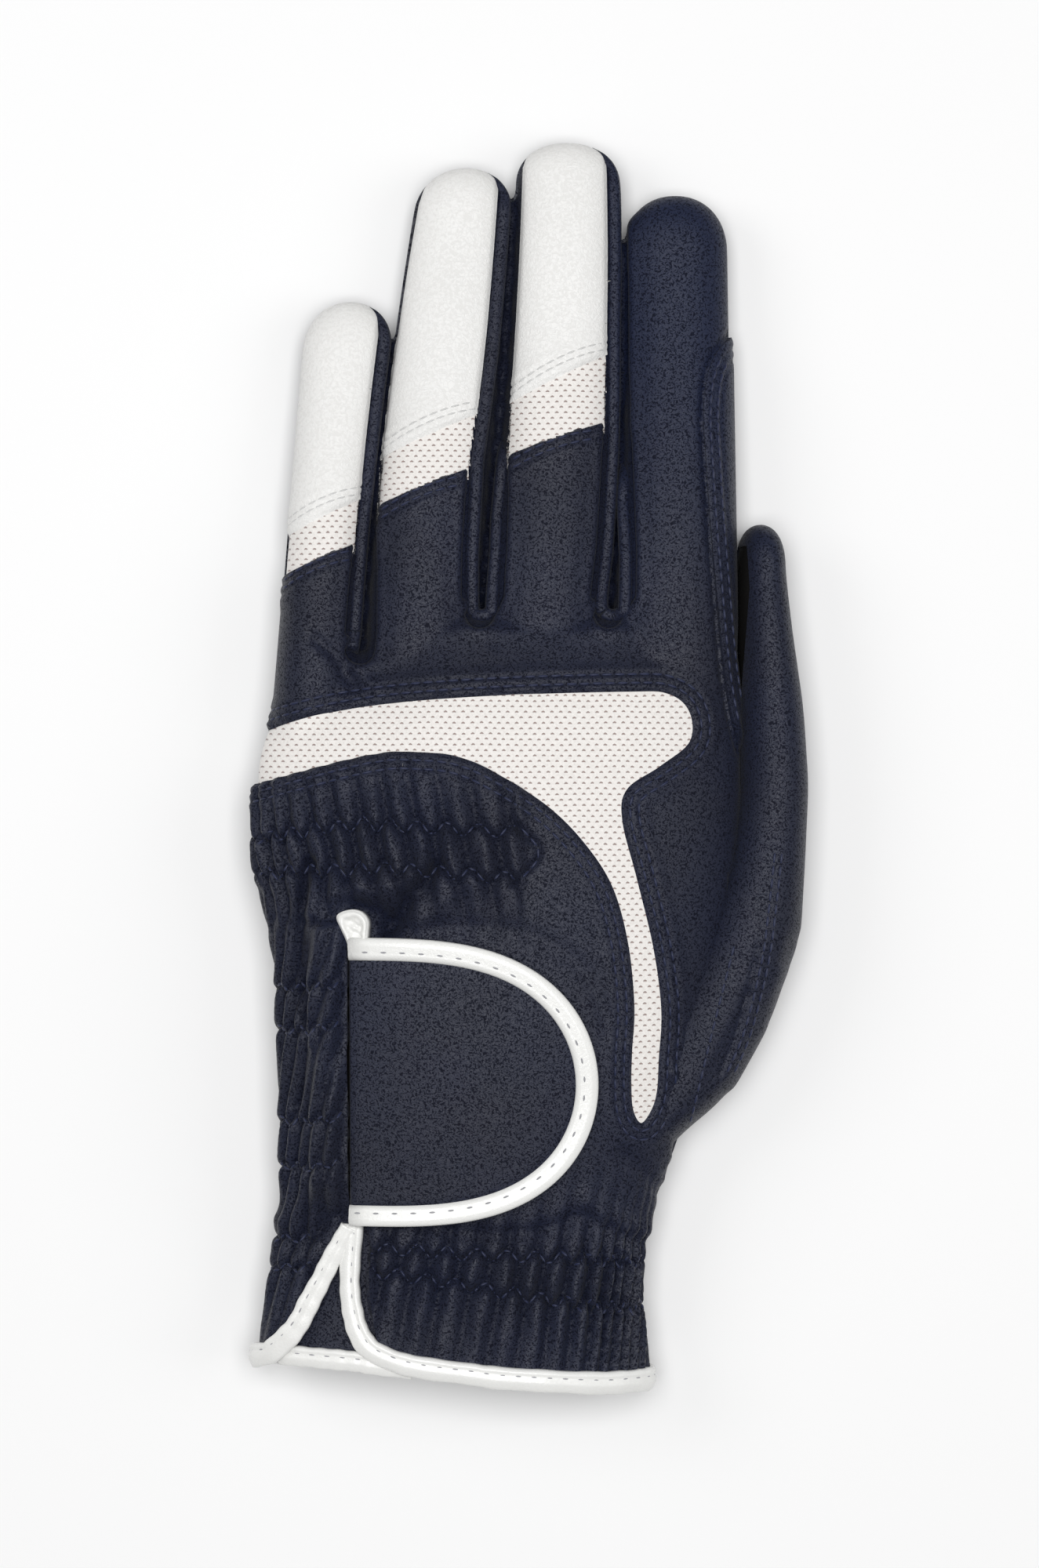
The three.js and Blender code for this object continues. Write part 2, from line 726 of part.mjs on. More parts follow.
// Bindings: a strip over the cut edge, standing proud of the leather on both sides
const band = handSolid(binding_proud, true)
  .intersect(floor)
  .subtract(handSolid(-wall - binding_proud, false));
const slit_strip = slitMask(binding_width).subtract(slitMask(0));
const left_half = block(new THREE.Vector3(-far, under, under), new THREE.Vector3(slit_across, slit_fork, over));
const right_half = block(new THREE.Vector3(slit_across, under, under), new THREE.Vector3(far, slit_fork, over));
const above_side = aboveSeam(clearance / 2);
const slit_left_binding = band.intersect(slit_strip).intersect(left_half).intersect(above_side);
const slit_right_binding = band.intersect(slit_strip).intersect(right_half).intersect(above_side);
const hem = band
  .intersect(hem_strip)
  .subtract(slitMask(0).intersect(above_side))
  .subtract(slitMask(binding_width + clearance).intersect(left_half).intersect(above_side));
add("slit_left_binding", slit_left_binding, white_binding);
add("hem_binding", hem.add(slit_right_binding), white_binding);

// Bound end of the slit, above the tab
const loop = handLayer(-wall, 2 * binding_proud).intersect(prism(loopOutline(0))).intersect(above_side);
add("slit_loop", loop, white_binding);

// Underlap behind the slit, with its own bound hem
const under_high = -wall - binding_proud - clearance;
const underlap_layer = handSolid(under_high, false).subtract(handSolid(under_high - wall, false));
const past_hem = block(new THREE.Vector3(-far, 0, under), new THREE.Vector3(far, far, over));
const underlap = underlap_layer
  .intersect(slitMask(underlap_margin))
  .intersect(above_side)
  .intersect(past_hem);
const underlap_top = block(
  new THREE.Vector3(-far, binding_width + clearance, under),
  new THREE.Vector3(far, slit_fork + underlap_past_fork, over),
);
add("underlap", underlap.intersect(underlap_top), navy);
add("underlap_binding", underlap.intersect(hem_strip), white_binding);

// Hook pad, tab and the tab's binding, stacked on the back
const pad_middle = new THREE.Vector2(slit_across + tab_length * pad_place, tab_low + tab_width / 2);
const pad_mask = block(
  new THREE.Vector3(pad_middle.x - pad_length / 2, pad_middle.y - pad_width / 2, under),
  new THREE.Vector3(pad_middle.x + pad_length / 2, pad_middle.y + pad_width / 2, over),
);
const pad_low = clearance;
const tab_under = pad_low + pad_thickness + clearance;
const pad = handLayer(pad_low, pad_low + pad_thickness).intersect(pad_mask).intersect(above_side);
add("hook_pad", pad, dark_knit);
const tab_face = handLayer(tab_under, tab_under + tab_thickness).intersect(above_side);
const tab_rim = handLayer(tab_under - tab_rim_proud, tab_under + tab_thickness + tab_rim_proud);
add("tab", tab_face.intersect(prism(tabOutline(tab_binding_width + clearance))), navy);
const rim_hole = tabOutline(tab_binding_width);
rim_hole[0].x -= tab_binding_width;
rim_hole.at(-1).x -= tab_binding_width;
add(
  "tab_binding",
  tab_rim.intersect(above_side).intersect(prism(tabOutline(0))).subtract(prism(rim_hole)),
  white_binding,
);

// The glove's origin is the middle of its footprint
const box = new THREE.Box3().setFromObject(glove);
glove.position.set(-(box.min.x + box.max.x) / 2, -(box.min.y + box.max.y) / 2, -box.min.z);

export default glove;
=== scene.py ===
from functools import partial

import bpy
import numpy as np
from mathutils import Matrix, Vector
from mathutils.bvhtree import BVHTree


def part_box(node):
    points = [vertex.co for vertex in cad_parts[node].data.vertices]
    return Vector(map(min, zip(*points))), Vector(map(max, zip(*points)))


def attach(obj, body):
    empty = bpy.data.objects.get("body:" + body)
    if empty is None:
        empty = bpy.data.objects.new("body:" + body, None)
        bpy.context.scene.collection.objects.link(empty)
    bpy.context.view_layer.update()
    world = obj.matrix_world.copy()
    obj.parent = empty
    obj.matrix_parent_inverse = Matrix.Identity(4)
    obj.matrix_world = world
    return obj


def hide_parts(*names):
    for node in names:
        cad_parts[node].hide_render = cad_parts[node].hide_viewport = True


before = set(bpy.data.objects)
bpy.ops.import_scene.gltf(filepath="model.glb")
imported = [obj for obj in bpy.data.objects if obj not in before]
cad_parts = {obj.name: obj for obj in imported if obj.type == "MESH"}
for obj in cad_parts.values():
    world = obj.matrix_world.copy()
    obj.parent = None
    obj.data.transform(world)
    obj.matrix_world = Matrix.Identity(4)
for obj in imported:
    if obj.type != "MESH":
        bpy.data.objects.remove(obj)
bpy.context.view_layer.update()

# The glove's shape, before it is cut into panels: a hand and four fingers, sewn to fit and worn,
# lying on its palm. Every leather and mesh panel below is cut from this one skin, so seams meet.
# Lengths are millimetres from the hem's middle, with the fingers along +Y and the thumb at +X.
mm = 0.001
tab_start = -27.2
axis_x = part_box("tab_binding")[0][0] - tab_start * mm
hem_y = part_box("hem_binding")[0][1]

hand_length = 142.5
hand_width = 86
hand_height = 26
roundness = 2.3
floor_sink = 0.6
crotch_drop = 6.5
finger_gap = 0.9
finger_rooting = 15
finger_reach = 80
hem_rise = 4
hem_rise_reach = 45

# Shares of the hand's length, and of its width and height
hand_sections = np.array([
    # along, left, right, top
    (0.00, -0.535, 0.313, 0.86),
    (0.05, -0.528, 0.292, 0.85),
    (0.13, -0.507, 0.270, 0.82),
    (0.19, -0.488, 0.284, 0.83),
    (0.26, -0.470, 0.330, 0.87),
    (0.34, -0.478, 0.382, 0.92),
    (0.45, -0.479, 0.430, 0.97),
    (0.55, -0.486, 0.465, 1.00),
    (0.66, -0.522, 0.492, 1.02),
    (0.76, -0.538, 0.504, 1.02),
    (0.86, -0.540, 0.502, 0.98),
    (0.93, -0.503, 0.494, 0.88),
    (0.98, -0.492, 0.490, 0.76),
])
# Borders between the fingers, little finger's outside first: across at the crotch, across further up, bow
borders = np.array([
    (-0.490, -0.415, 0.000),
    (-0.310, -0.200, -0.012),
    (-0.060, 0.014, 0.010),
    (0.217, 0.247, 0.014),
    (0.490, 0.477, 0.000),
])
fingers = {
    "little": {"place": 0, "start": hand_length - crotch_drop, "length": 66.6, "tip_round": 1.15},
    "ring": {"place": 1, "start": hand_length, "length": 85.0, "tip_round": 0.95},
    "middle": {"place": 2, "start": hand_length, "length": 89.7, "tip_round": 0.8},
    "index": {"place": 3, "start": hand_length, "length": 79.9, "tip_round": 1.1},
}
finger_list = list(fingers.values())
finger_names = list(fingers)
finger_height_base = 20
finger_height_tip = 13
voxel = 0.55
cut_face = bpy.data.materials.new("cut_face")
skin_face = bpy.data.materials.new("skin_face")


def smooth(value, low, high):
    t = np.clip((np.asarray(value, float) - low) / (high - low), 0, 1)
    return t * t * (3 - 2 * t)


def hand_edges(y):
    near = np.linspace(-4, 4, 9)
    y = np.atleast_1d(np.asarray(y, float))
    share = (y[:, None] + near) / hand_length
    left, right, top = (
        np.interp(share, hand_sections[:, 0], hand_sections[:, k]).mean(axis=1) for k in (1, 2, 3)
    )
    return left * hand_width, right * hand_width, top * hand_height


def border_at(place, y):
    crotch, far, bow = borders[place]
    t = (np.asarray(y, float) - hand_length) / finger_reach
    return hand_width * (crotch + (far - crotch) * t + bow * 4 * t * (1 - t))


def finger_edges(place, y):
    left = border_at(place, y) + (0 if place == 0 else finger_gap / 2)
    right = border_at(place + 1, y) - (0 if place == 3 else finger_gap / 2)
    return (left + right) / 2, (right - left) / 2


def section(left, right, low, high, y, count=96, lean=0.0, step_down=0.0):
    angle = np.linspace(0, 2 * np.pi, count, endpoint=False)
    across, up = np.cos(angle), np.sin(angle)
    z = (high + low) / 2 + (high - low) / 2 * np.sign(up) * np.abs(up) ** (2 / roundness)
    x = (left + right) / 2 + (right - left) / 2 * np.sign(across) * np.abs(across) ** (2 / roundness)
    x = x + lean * (z - (high + low) / 2)
    sideways = (x - (left + right) / 2) / hand_width
    return np.stack([x, y - step_down * smooth(-sideways, 0.12, 0.3), z], axis=1)


def placed(points):
    points = np.asarray(points, float)
    drape = hem_rise * (1 - smooth(points[..., 1], -5, hem_rise_reach))
    drape = drape * smooth(-points[..., 0], -0.32 * hand_width, 0.5 * hand_width)
    shift = np.stack([points[..., 0], points[..., 1] + drape, points[..., 2]], axis=-1) * mm
    return shift + np.array([axis_x, hem_y, 0])


def only(piece):
    bpy.ops.object.select_all(action="DESELECT")
    piece.select_set(True)
    bpy.context.view_layer.objects.active = piece
    return piece


def added(primitive, **settings):
    bpy.ops.object.select_all(action="DESELECT")
    primitive(**settings)
    return bpy.context.object


def coordinates(piece):
    points = np.empty(len(piece.data.vertices) * 3)
    piece.data.vertices.foreach_get("co", points)
    return points.reshape(-1, 3)


def set_coordinates(piece, points):
    piece.data.vertices.foreach_set("co", np.asarray(points, float).ravel())
    piece.data.update()


def edited(piece, *steps):
    only(piece)
    bpy.ops.object.mode_set(mode="EDIT")
    for step, settings in steps:
        bpy.ops.mesh.select_all(action="SELECT")
        step(**settings)
    bpy.ops.object.mode_set(mode="OBJECT")
    return piece


def tube(name, rings):
    rings = np.asarray(rings)
    piece = added(bpy.ops.mesh.primitive_grid_add, x_subdivisions=rings.shape[1],
                  y_subdivisions=len(rings) - 1, size=1)
    piece.name = name
    set_coordinates(piece, np.concatenate([rings, rings[:, :1]], axis=1))
    return edited(piece, (bpy.ops.mesh.remove_doubles, {"threshold": 1e-5}),
                  (bpy.ops.mesh.fill_holes, {"sides": 0}),
                  (bpy.ops.mesh.normals_make_consistent, {"inside": False}))


def smoothed(piece):
    only(piece)
    bpy.ops.object.shade_smooth()
    return piece


def apply(piece, kind, **settings):
    only(piece)
    modifier = piece.modifiers.new(kind.title(), kind)
    for key, value in settings.items():
        setattr(modifier, key, value)
    bpy.ops.object.modifier_apply(modifier=modifier.name)
    return piece


def blended(piece, rounds):
    apply(piece, "REMESH", mode="VOXEL", voxel_size=voxel * mm)
    apply(piece, "SMOOTH", factor=0.5, iterations=rounds)
    points = coordinates(piece)
    points[:, 2] = np.maximum(points[:, 2], 0)
    set_coordinates(piece, points)
    piece.data.materials.append(skin_face)
    piece.data.materials.append(cut_face)
    return piece


def tip_share(y, tip, round_length):
    inside = np.clip((tip - y) / round_length, 0, 1)
    return (1 - (1 - inside) ** 2.2) ** (1 / 2.2)


def finger_top(place, y):
    finger = finger_list[place]
    t = np.clip((y - finger["start"]) / finger["length"], 0, 1)
    return finger_height_base + (finger_height_tip - finger_height_base) * smooth(t, -0.1, 1)


def hand_rings(grow=0.0):
    last = hand_sections[-1, 0] * hand_length
    rings = []
    for y in np.linspace(0, last, 60):
        left, right, top = (float(v[0]) for v in hand_edges(y))
        drop = crotch_drop * float(smooth(y, 0.6 * last, last))
        rings.append(section(left - grow, right + grow, -floor_sink - grow, top + grow, y, 160, 0, drop))
    left, right, top = (float(v[0]) for v in hand_edges(last))
    for beyond in np.linspace(0.15, 0.97, 8):
        shrink = (1 - beyond**2) ** 0.5
        low = top / 2 * (1 - shrink) - floor_sink - grow
        high = top / 2 * (1 + shrink) + grow
        rings.append(section(left * (1 - 0.06 * beyond), right * (1 - 0.06 * beyond), low, high,
                             last + beyond * 5, 160, 0, crotch_drop))
    return rings


def finger_rings(place, finger):
    tip = finger["start"] + finger["length"]
    round_length = float(finger_edges(place, tip)[1]) * finger["tip_round"]
    root = finger["start"] - finger_rooting
    stops = np.concatenate([
        np.linspace(root, tip - round_length, 60)[:-1],
        tip - round_length * (1 - np.sin(np.linspace(0, 0.497 * np.pi, 26))),
    ])
    rings = []
    for y in stops:
        centre, half = (float(v) for v in finger_edges(place, y))
        share = float(tip_share(y, tip, round_length))
        middle = float(finger_top(place, y)) / 2
        rise = middle * share**0.8
        rings.append(section(centre - half * share, centre + half * share,
                             middle - rise - floor_sink, middle + rise, y, 80))
    return rings


tubes = [tube("hand_form", placed(hand_rings()))]
tubes += [tube(f"{name}_form", placed(finger_rings(f["place"], f))) for name, f in fingers.items()]
bpy.ops.object.select_all(action="DESELECT")
for piece in tubes:
    piece.select_set(True)
bpy.context.view_layer.objects.active = tubes[0]
bpy.ops.object.join()
form = blended(tubes[0], 13)


# The back: one navy leather panel from the hem to the index finger's tip, with windows for the mesh
# and bound at the slit. It is shirred on elastic in zigzag rows, and lapped over the mesh by a
# folded edge with two rows of stitches.
seam_height_hem = 9.5
seam_height_tip = 6
fore_tip = 232.2
gusset_foot = 1.7
gusset_drops = (-1.4, -1.6, -1.6)

# How far the back's panels reach over each finger, as shares of its half width
cover_stops = (0.0, 0.15, 0.35, 0.6, 1.0)
covers = {
    # left, right
    "little": ((1.3, 1.3, 1.3, 1.3, 1.3), (0.80, 0.82, 0.82, 0.80, 0.78)),
    "ring": ((0.86, 0.97, 1.02, 1.02, 0.96), (0.83, 0.70, 0.63, 0.72, 0.78)),
    "middle": ((0.76, 0.80, 0.92, 0.92, 0.92), (0.79, 0.84, 0.84, 0.80, 0.82)),
    "index": ((0.68, 0.73, 0.88, 1.02, 1.05), (1.3, 1.3, 1.3, 1.3, 1.3)),
}
slit_across = -28
slit_top = 85.5
slit_fork = 29.5
slit_parted = 3.1
fold_edge = -28.5
fold_height = 3.4
binding_width = 3.2
below_hem = -9
leather = 1.1
lap_rows = (1.5, 3.1)

# Cross seams of the fingers as shares of their length, left and right, and how far they bow
seam_bow = 1.3
cloth_seams = {"little": (0.210, 0.322), "ring": (0.252, 0.338), "middle": (0.342, 0.416)}
white_seams = {"little": (0.325, 0.442), "ring": (0.360, 0.455), "middle": (0.455, 0.555)}

# The window's edge, clockwise from its upper left corner
window_points = [
    (-51.6, 120.8), (-29.9, 126.5), (-6.7, 128.8), (22.0, 129.8), (29.8, 129.4), (33.7, 126.1),
    (33.7, 120.6), (28.2, 116.1), (22.1, 111.9), (21.2, 106.2), (23.9, 95.5), (27.0, 82.7),
    (28.5, 71.3), (28.1, 62.5), (27.8, 56.5), (26.8, 53.0), (24.9, 50.6), (23.4, 53.0),
    (23.0, 57.5), (23.1, 63.5),
    (23.5, 72.2), (22.3, 83.8), (19.4, 94.1), (14.4, 101.9), (7.8, 108.6), (-0.9, 114.3),
    (-8.1, 117.6), (-15.4, 118.6), (-25.8, 118.0), (-51.6, 111.4),
]

# Shirred zones: rows as (across, along) points, upper then lower
shirrings = [
    {
        "rows": ([(-56, 101), (-39, 104), (-26, 105.6), (-10, 104.6), (6, 104)],
                 [(-56, 95.5), (-39, 96.8), (-22, 97.5), (-10, 96.6), (6, 95.2)]),
        "left": -80, "right": 2.6, "wave": 1.45, "lean": -0.2,
        "troughs": (-45.3, -41.2, -37.1, -32.8, -28.3, -23.6, -18.7, -13.5, -8.0, -1.9, 4.2),
        "height": 2.3, "rise_above": 9, "fall_below": 7,
    },
    {
        "rows": ([(-56, 74.5), (-36, 75.5), (-28, 77)], [(-56, 67), (-36, 67.8), (-28, 69.4)]),
        "left": -80, "right": -29.5, "wave": 1.0, "lean": 0.3,
        "troughs": (-47.4, -43.5, -39.6, -35.7, -31.8, -27.9),
        "height": 1.8, "rise_above": 14, "fall_below": 9,
    },
    {
        "rows": ([(-56, 50), (-36, 51), (-28, 52.5)], [(-56, 41.5), (-36, 42.5), (-28, 44.5)]),
        "left": -80, "right": -29.5, "wave": 1.0, "lean": 0.3,
        "troughs": (-47.4, -43.5, -39.6, -35.7, -31.8, -27.9),
        "height": 1.8, "rise_above": 9, "fall_below": 9,
    },
    {
        "rows": ([(-27, 27), (-10, 26.2), (6, 25.9), (16, 25.4), (34, 23.5)],
                 [(-27, 22.4), (-10, 20.4), (6, 18.2), (16, 16.8), (34, 15.4)]),
        "left": -26.5, "right": 80, "wave": 1.45, "lean": 0.18,
        "troughs": (-30.0, -24.5, -19.0, -13.5, -8.2, -2.6, 2.8, 7.8, 12.8, 17.4, 21.0, 23.5, 26.0),
        "height": 2.3, "rise_above": 7, "fall_below": 15,
    },
    {
        "rows": ([(-56, 27), (-38, 28), (-30, 29)], [(-56, 20.4), (-39, 22), (-30, 24)]),
        "left": -80, "right": -35, "wave": 1.0, "lean": 0.3,
        "troughs": (-51.2, -47.0, -42.8, -38.6, -34.4),
        "height": 1.5, "rise_above": 8, "fall_below": 12,
    },
]

# Folds and creases that wearing leaves: points, height, half width
folds = [
    ([(-13.0, 97.5), (-17.0, 92.5), (-21.6, 86.0)], -1.5, 1.5),
    ([(-8.5, 95.0), (-12.5, 90.5), (-16.0, 87.5)], 0.8, 2.2),
    ([(-16.0, 97.0), (-21.9, 94.0), (-28.6, 93.4), (-33.5, 91.5), (-35.5, 88.5)], 1.5, 2.4),
    ([(-35.5, 98.5), (-37.2, 91.5), (-36.8, 84.0), (-37.3, 78.0), (-36.2, 70.0)], -1.5, 1.2),
    ([(-36.5, 87.6), (-33.6, 88.0), (-31.0, 88.6)], -1.1, 1.0),
    ([(-26.0, 90.2), (-23.5, 88.8), (-20.5, 87.6)], -1.7, 2.2),
    ([(-35.0, 64.0), (-36.5, 58.0), (-37.8, 54.0)], -0.8, 0.9),
    ([(-33.4, 41.0), (-36.0, 36.0), (-40.0, 31.0)], 1.0, 1.8),
    ([(-30.0, 33.5), (-34.0, 31.0), (-38.0, 26.0)], -0.9, 1.4),
    ([(2.2, 105.2), (6.1, 100.0), (0.8, 94.4)], -0.9, 0.6),
    ([(2.0, 129.0), (5.0, 133.0), (8.0, 137.0)], 0.25, 3.0),
    ([(30.5, 60.0), (33.0, 55.5), (34.5, 50.0)], 0.7, 1.1),
    ([(31.0, 54.0), (31.8, 50.0), (31.6, 45.0)], -0.6, 1.0),
    ([(31.8, 70.0), (34.6, 65.5), (36.6, 60.0)], -0.45, 1.1),
    ([(41.3, 96.0), (41.0, 83.8), (36.8, 66.3), (34.1, 55.2), (31.6, 44.7), (29.2, 40.3)], -0.45, 0.45),
    ([(21.5, 44.5), (25.0, 42.0), (28.5, 37.0)], -0.6, 1.5),
    ([(15.0, 36.5), (20.5, 32.5), (26.0, 30.5)], 0.7, 2.0),
    ([(18.0, 32.0), (23.0, 29.0), (28.5, 27.5)], -0.5, 1.4),
    ([(-22.0, 33.2), (-10.0, 30.5), (4.0, 30.5), (14.0, 33.5)], -0.7, 1.6),
    ([(-27.5, 85.6), (-10.0, 86.8), (4.0, 85.4), (14.0, 79.0), (19.5, 68.0)], -0.5, 1.8),
    ([(-2.0, 139.0), (-1.6, 149.0)], -0.3, 1.6),
    ([(-35.0, 139.5), (-31.0, 136.0), (-28.0, 131.0)], -0.8, 1.3),
    ([(-30.0, 135.0), (-26.0, 132.5), (-24.0, 130.0)], 0.5, 1.4),
]


def curve(points, steps=12):
    points = np.asarray(points, float)
    ends = np.concatenate([[2 * points[0] - points[1]], points, [2 * points[-1] - points[-2]]])
    t = np.linspace(0, 1, steps, endpoint=False)[:, None]
    parts = []
    for a, b, c, d in zip(ends[:-3], ends[1:-2], ends[2:-1], ends[3:]):
        parts.append(0.5 * (2 * b + (c - a) * t + (2 * a - 5 * b + 4 * c - d) * t**2
                            + (3 * b - a - 3 * c + d) * t**3))
    return np.concatenate(parts + [points[-1:]])


def gap(points, line):
    line = np.asarray(line, float)
    best = np.full(len(points), np.inf)
    for a, b in zip(line[:-1], line[1:]):
        along = b - a
        t = np.clip((points - a) @ along / max(along @ along, 1e-9), 0, 1)
        best = np.minimum(best, np.hypot(*(points - a - t[:, None] * along).T))
    return best


def bump(distance, width):
    return np.exp(-((distance / width) ** 2))


def beside(line, distance):
    line = np.asarray(line, float)
    along = np.gradient(line, axis=0)
    along /= np.linalg.norm(along, axis=1)[:, None]
    return line + distance * np.stack([-along[:, 1], along[:, 0]], axis=1)


def top_side(place, side, y, grow=0.0):
    centre, half = finger_edges(place, y)
    name = finger_names[place]
    share = (y - fingers[name]["start"]) / fingers[name]["length"]
    cover = np.interp(share, cover_stops, covers[name][0 if side < 0 else 1])
    return centre + side * (half * cover + grow)


def seam_line(name, seams, shift=0.0):
    finger = fingers[name]
    left, right = (finger["start"] + share * finger["length"] + shift for share in seams[name])
    t = np.linspace(0, 1, 9)
    y = left + (right - left) * t + seam_bow * 4 * t * (1 - t)
    ends = [float(top_side(finger["place"], *end)) for end in ((-1, left), (1, right))]
    return np.stack([np.linspace(*ends, 9), y], axis=1)


def top_outline(name, seams, low_shift=0.0, high=None, grow=0.0):
    place = fingers[name]["place"]
    low = seam_line(name, seams, low_shift)
    high = np.array([[0, fore_tip + 8], [0, fore_tip + 8]]) if high is None else high
    right = np.linspace(low[-1, 1], high[-1, 1], 8)
    left = np.linspace(high[0, 1], low[0, 1], 8)
    return np.concatenate([
        np.stack([top_side(place, 1, right, grow), right], axis=1),
        np.stack([top_side(place, -1, left, grow), left], axis=1),
    ])


def crotch_of(place):
    return min(finger["start"] for finger in finger_list[place:place + 2]) - gusset_drops[place]


def gusset_outline(place, grow=0.0):
    crotch = crotch_of(place)
    axis = float(border_at(place + 1, crotch))
    angle = np.linspace(np.pi, 2 * np.pi, 10)
    foot = np.stack([np.cos(angle), np.sin(angle)], axis=1) * (gusset_foot + grow) + (axis, crotch)
    y = np.linspace(crotch + 2 * gusset_foot, fore_tip + 8, 12)
    right = np.stack([top_side(place + 1, -1, y) + grow, y], axis=1)
    left = np.stack([top_side(place, 1, y) - grow, y], axis=1)
    return np.concatenate([foot, right, left[::-1]])


def slit_outline():
    t = np.linspace(0, 1, 12)
    y = slit_fork * (1 - t) - 0.01
    left = np.stack([slit_across - slit_parted - 18.5 * t**1.7, y], axis=1)
    right = np.stack([slit_across + slit_parted + 7 * t**5, y], axis=1)
    low = [(left[-1, 0], below_hem), (right[-1, 0], below_hem)]
    high = [(-25.5, slit_fork + 1), (-25.5, slit_top), (fold_edge, slit_top), (fold_edge, slit_fork + 1)]
    return np.concatenate([high, left, low, right[::-1]])


def unplaced(points):
    x = (points[:, 0] - axis_x) / mm
    raised = (points[:, 1] - hem_y) / mm
    side = smooth(-x, -0.32 * hand_width, 0.5 * hand_width)
    y = raised
    for _ in range(4):
        y = raised - hem_rise * (1 - smooth(y, -5, hem_rise_reach)) * side
    return np.stack([x, y, points[:, 2] / mm], axis=1)


def band(low, high):
    return [(-90, low), (90, low), (90, high), (-90, high)]


def cutter(outline, low=-6, high=60):
    outline = np.asarray(outline, float)
    tool = added(bpy.ops.mesh.primitive_circle_add, vertices=len(outline), radius=1, fill_type="NGON")
    flat = placed(np.column_stack([outline, np.full(len(outline), low)]))
    set_coordinates(tool, flat)
    upward = {"TRANSFORM_OT_translate": {"value": (0, 0, (high - low) * mm)}}
    return edited(tool, (bpy.ops.mesh.extrude_region_move, upward),
                  (bpy.ops.mesh.normals_make_consistent, {"inside": False}))


def cut(piece, tool, operation):
    for _ in range(2 - len(tool.data.materials)):
        tool.data.materials.append(cut_face)
    for face in tool.data.polygons:
        face.material_index = 1
    apply(piece, "BOOLEAN", operation=operation, solver="MANIFOLD", object=tool)
    bpy.data.objects.remove(tool)
    return piece


def copied(piece, name):
    only(piece)
    bpy.ops.object.duplicate()
    double = bpy.context.object
    double.name = name
    return double


def open_skin(piece):
    only(piece)
    bpy.ops.object.mode_set(mode="EDIT")
    bpy.ops.mesh.select_all(action="DESELECT")
    bpy.ops.object.mode_set(mode="OBJECT")
    for face in piece.data.polygons:
        face.select = face.material_index == 1
    bpy.ops.object.mode_set(mode="EDIT")
    bpy.ops.mesh.delete(type="FACE")
    bpy.ops.mesh.select_all(action="SELECT")
    bpy.ops.mesh.remove_doubles(threshold=2e-5)
    bpy.ops.mesh.delete_loose()
    bpy.ops.object.mode_set(mode="OBJECT")
    piece.data.materials.clear()
    return piece


def raised(piece, relief):
    points = coordinates(piece)
    normals = np.empty(len(points) * 3)
    piece.data.vertex_normals.foreach_get("vector", normals)
    height = relief(unplaced(points))
    # Painted shade: a relief may also give a painted-shade mask (0 to 1). It is stored on the points, and
    # the leather's material darkens its colour there.
    if isinstance(height, tuple):
        height, painted_shade = height
        stored = piece.data.attributes.new("painted_shade", "FLOAT", "POINT")
        stored.data.foreach_set("value", np.clip(painted_shade, 0, 1).astype(np.float32))
    set_coordinates(piece, points + normals.reshape(-1, 3) * height[:, None] * mm)
    return piece


def creased(piece):
    only(piece)
    bpy.ops.object.shade_smooth_by_angle(angle=np.radians(50))
    return piece


def rimmed(piece, thickness=leather):
    return creased(apply(piece, "SOLIDIFY", thickness=thickness * mm, offset=-1, use_rim_only=True,
                         use_even_offset=False))


def sunk(depth):
    return lambda at: np.full(len(at), -depth)


slope = np.arctan2(seam_height_tip - seam_height_hem, fore_tip)


def seam_block(upper, shift=0.0):
    block = added(bpy.ops.mesh.primitive_cube_add, size=1)
    corners = coordinates(block) * (0.4, 0.8, 0.1) + (0, 0, 0.05 if upper else -0.05)
    turned = corners.copy()
    turned[:, 1] = corners[:, 1] * np.cos(slope) - corners[:, 2] * np.sin(slope) + hem_y
    turned[:, 2] = corners[:, 1] * np.sin(slope) + corners[:, 2] * np.cos(slope)
    turned[:, 2] += (seam_height_hem + shift) * mm
    set_coordinates(block, turned)
    return block


upper_half = cut(copied(form, "upper_half"), seam_block(True), "INTERSECT")


def panel(name, outline, relief, thickness=leather):
    piece = cut(copied(upper_half, name), cutter(outline), "INTERSECT")
    return rimmed(raised(open_skin(piece), relief), thickness)


window_line = curve(window_points)
strip_line = curve([(43.0, 200.0), (41.5, 196.2), (38.6, 192.5), (36.9, 188.0), (36.2, 181.0),
                    (36.6, 172.0), (37.2, 162.0), (38.2, 150.0), (39.4, 137.0), (41.0, 126.0),
                    (42.9, 118.9)])


def zigzag(phase):
    return np.arcsin(0.93 * np.cos(phase)) / np.arcsin(0.93)


def shirr_phase(zone, across, y):
    upper = np.interp(across, *np.array(zone["rows"][0]).T)
    across = across + zone["lean"] * (upper - y)
    troughs = np.array(zone["troughs"])
    count = np.interp(across, troughs, np.arange(len(troughs)))
    past = np.maximum(across - troughs[-1], 0) / np.diff(troughs)[-1]
    before = np.minimum(across - troughs[0], 0) / np.diff(troughs)[0]
    return 2 * np.pi * (count + past + before)


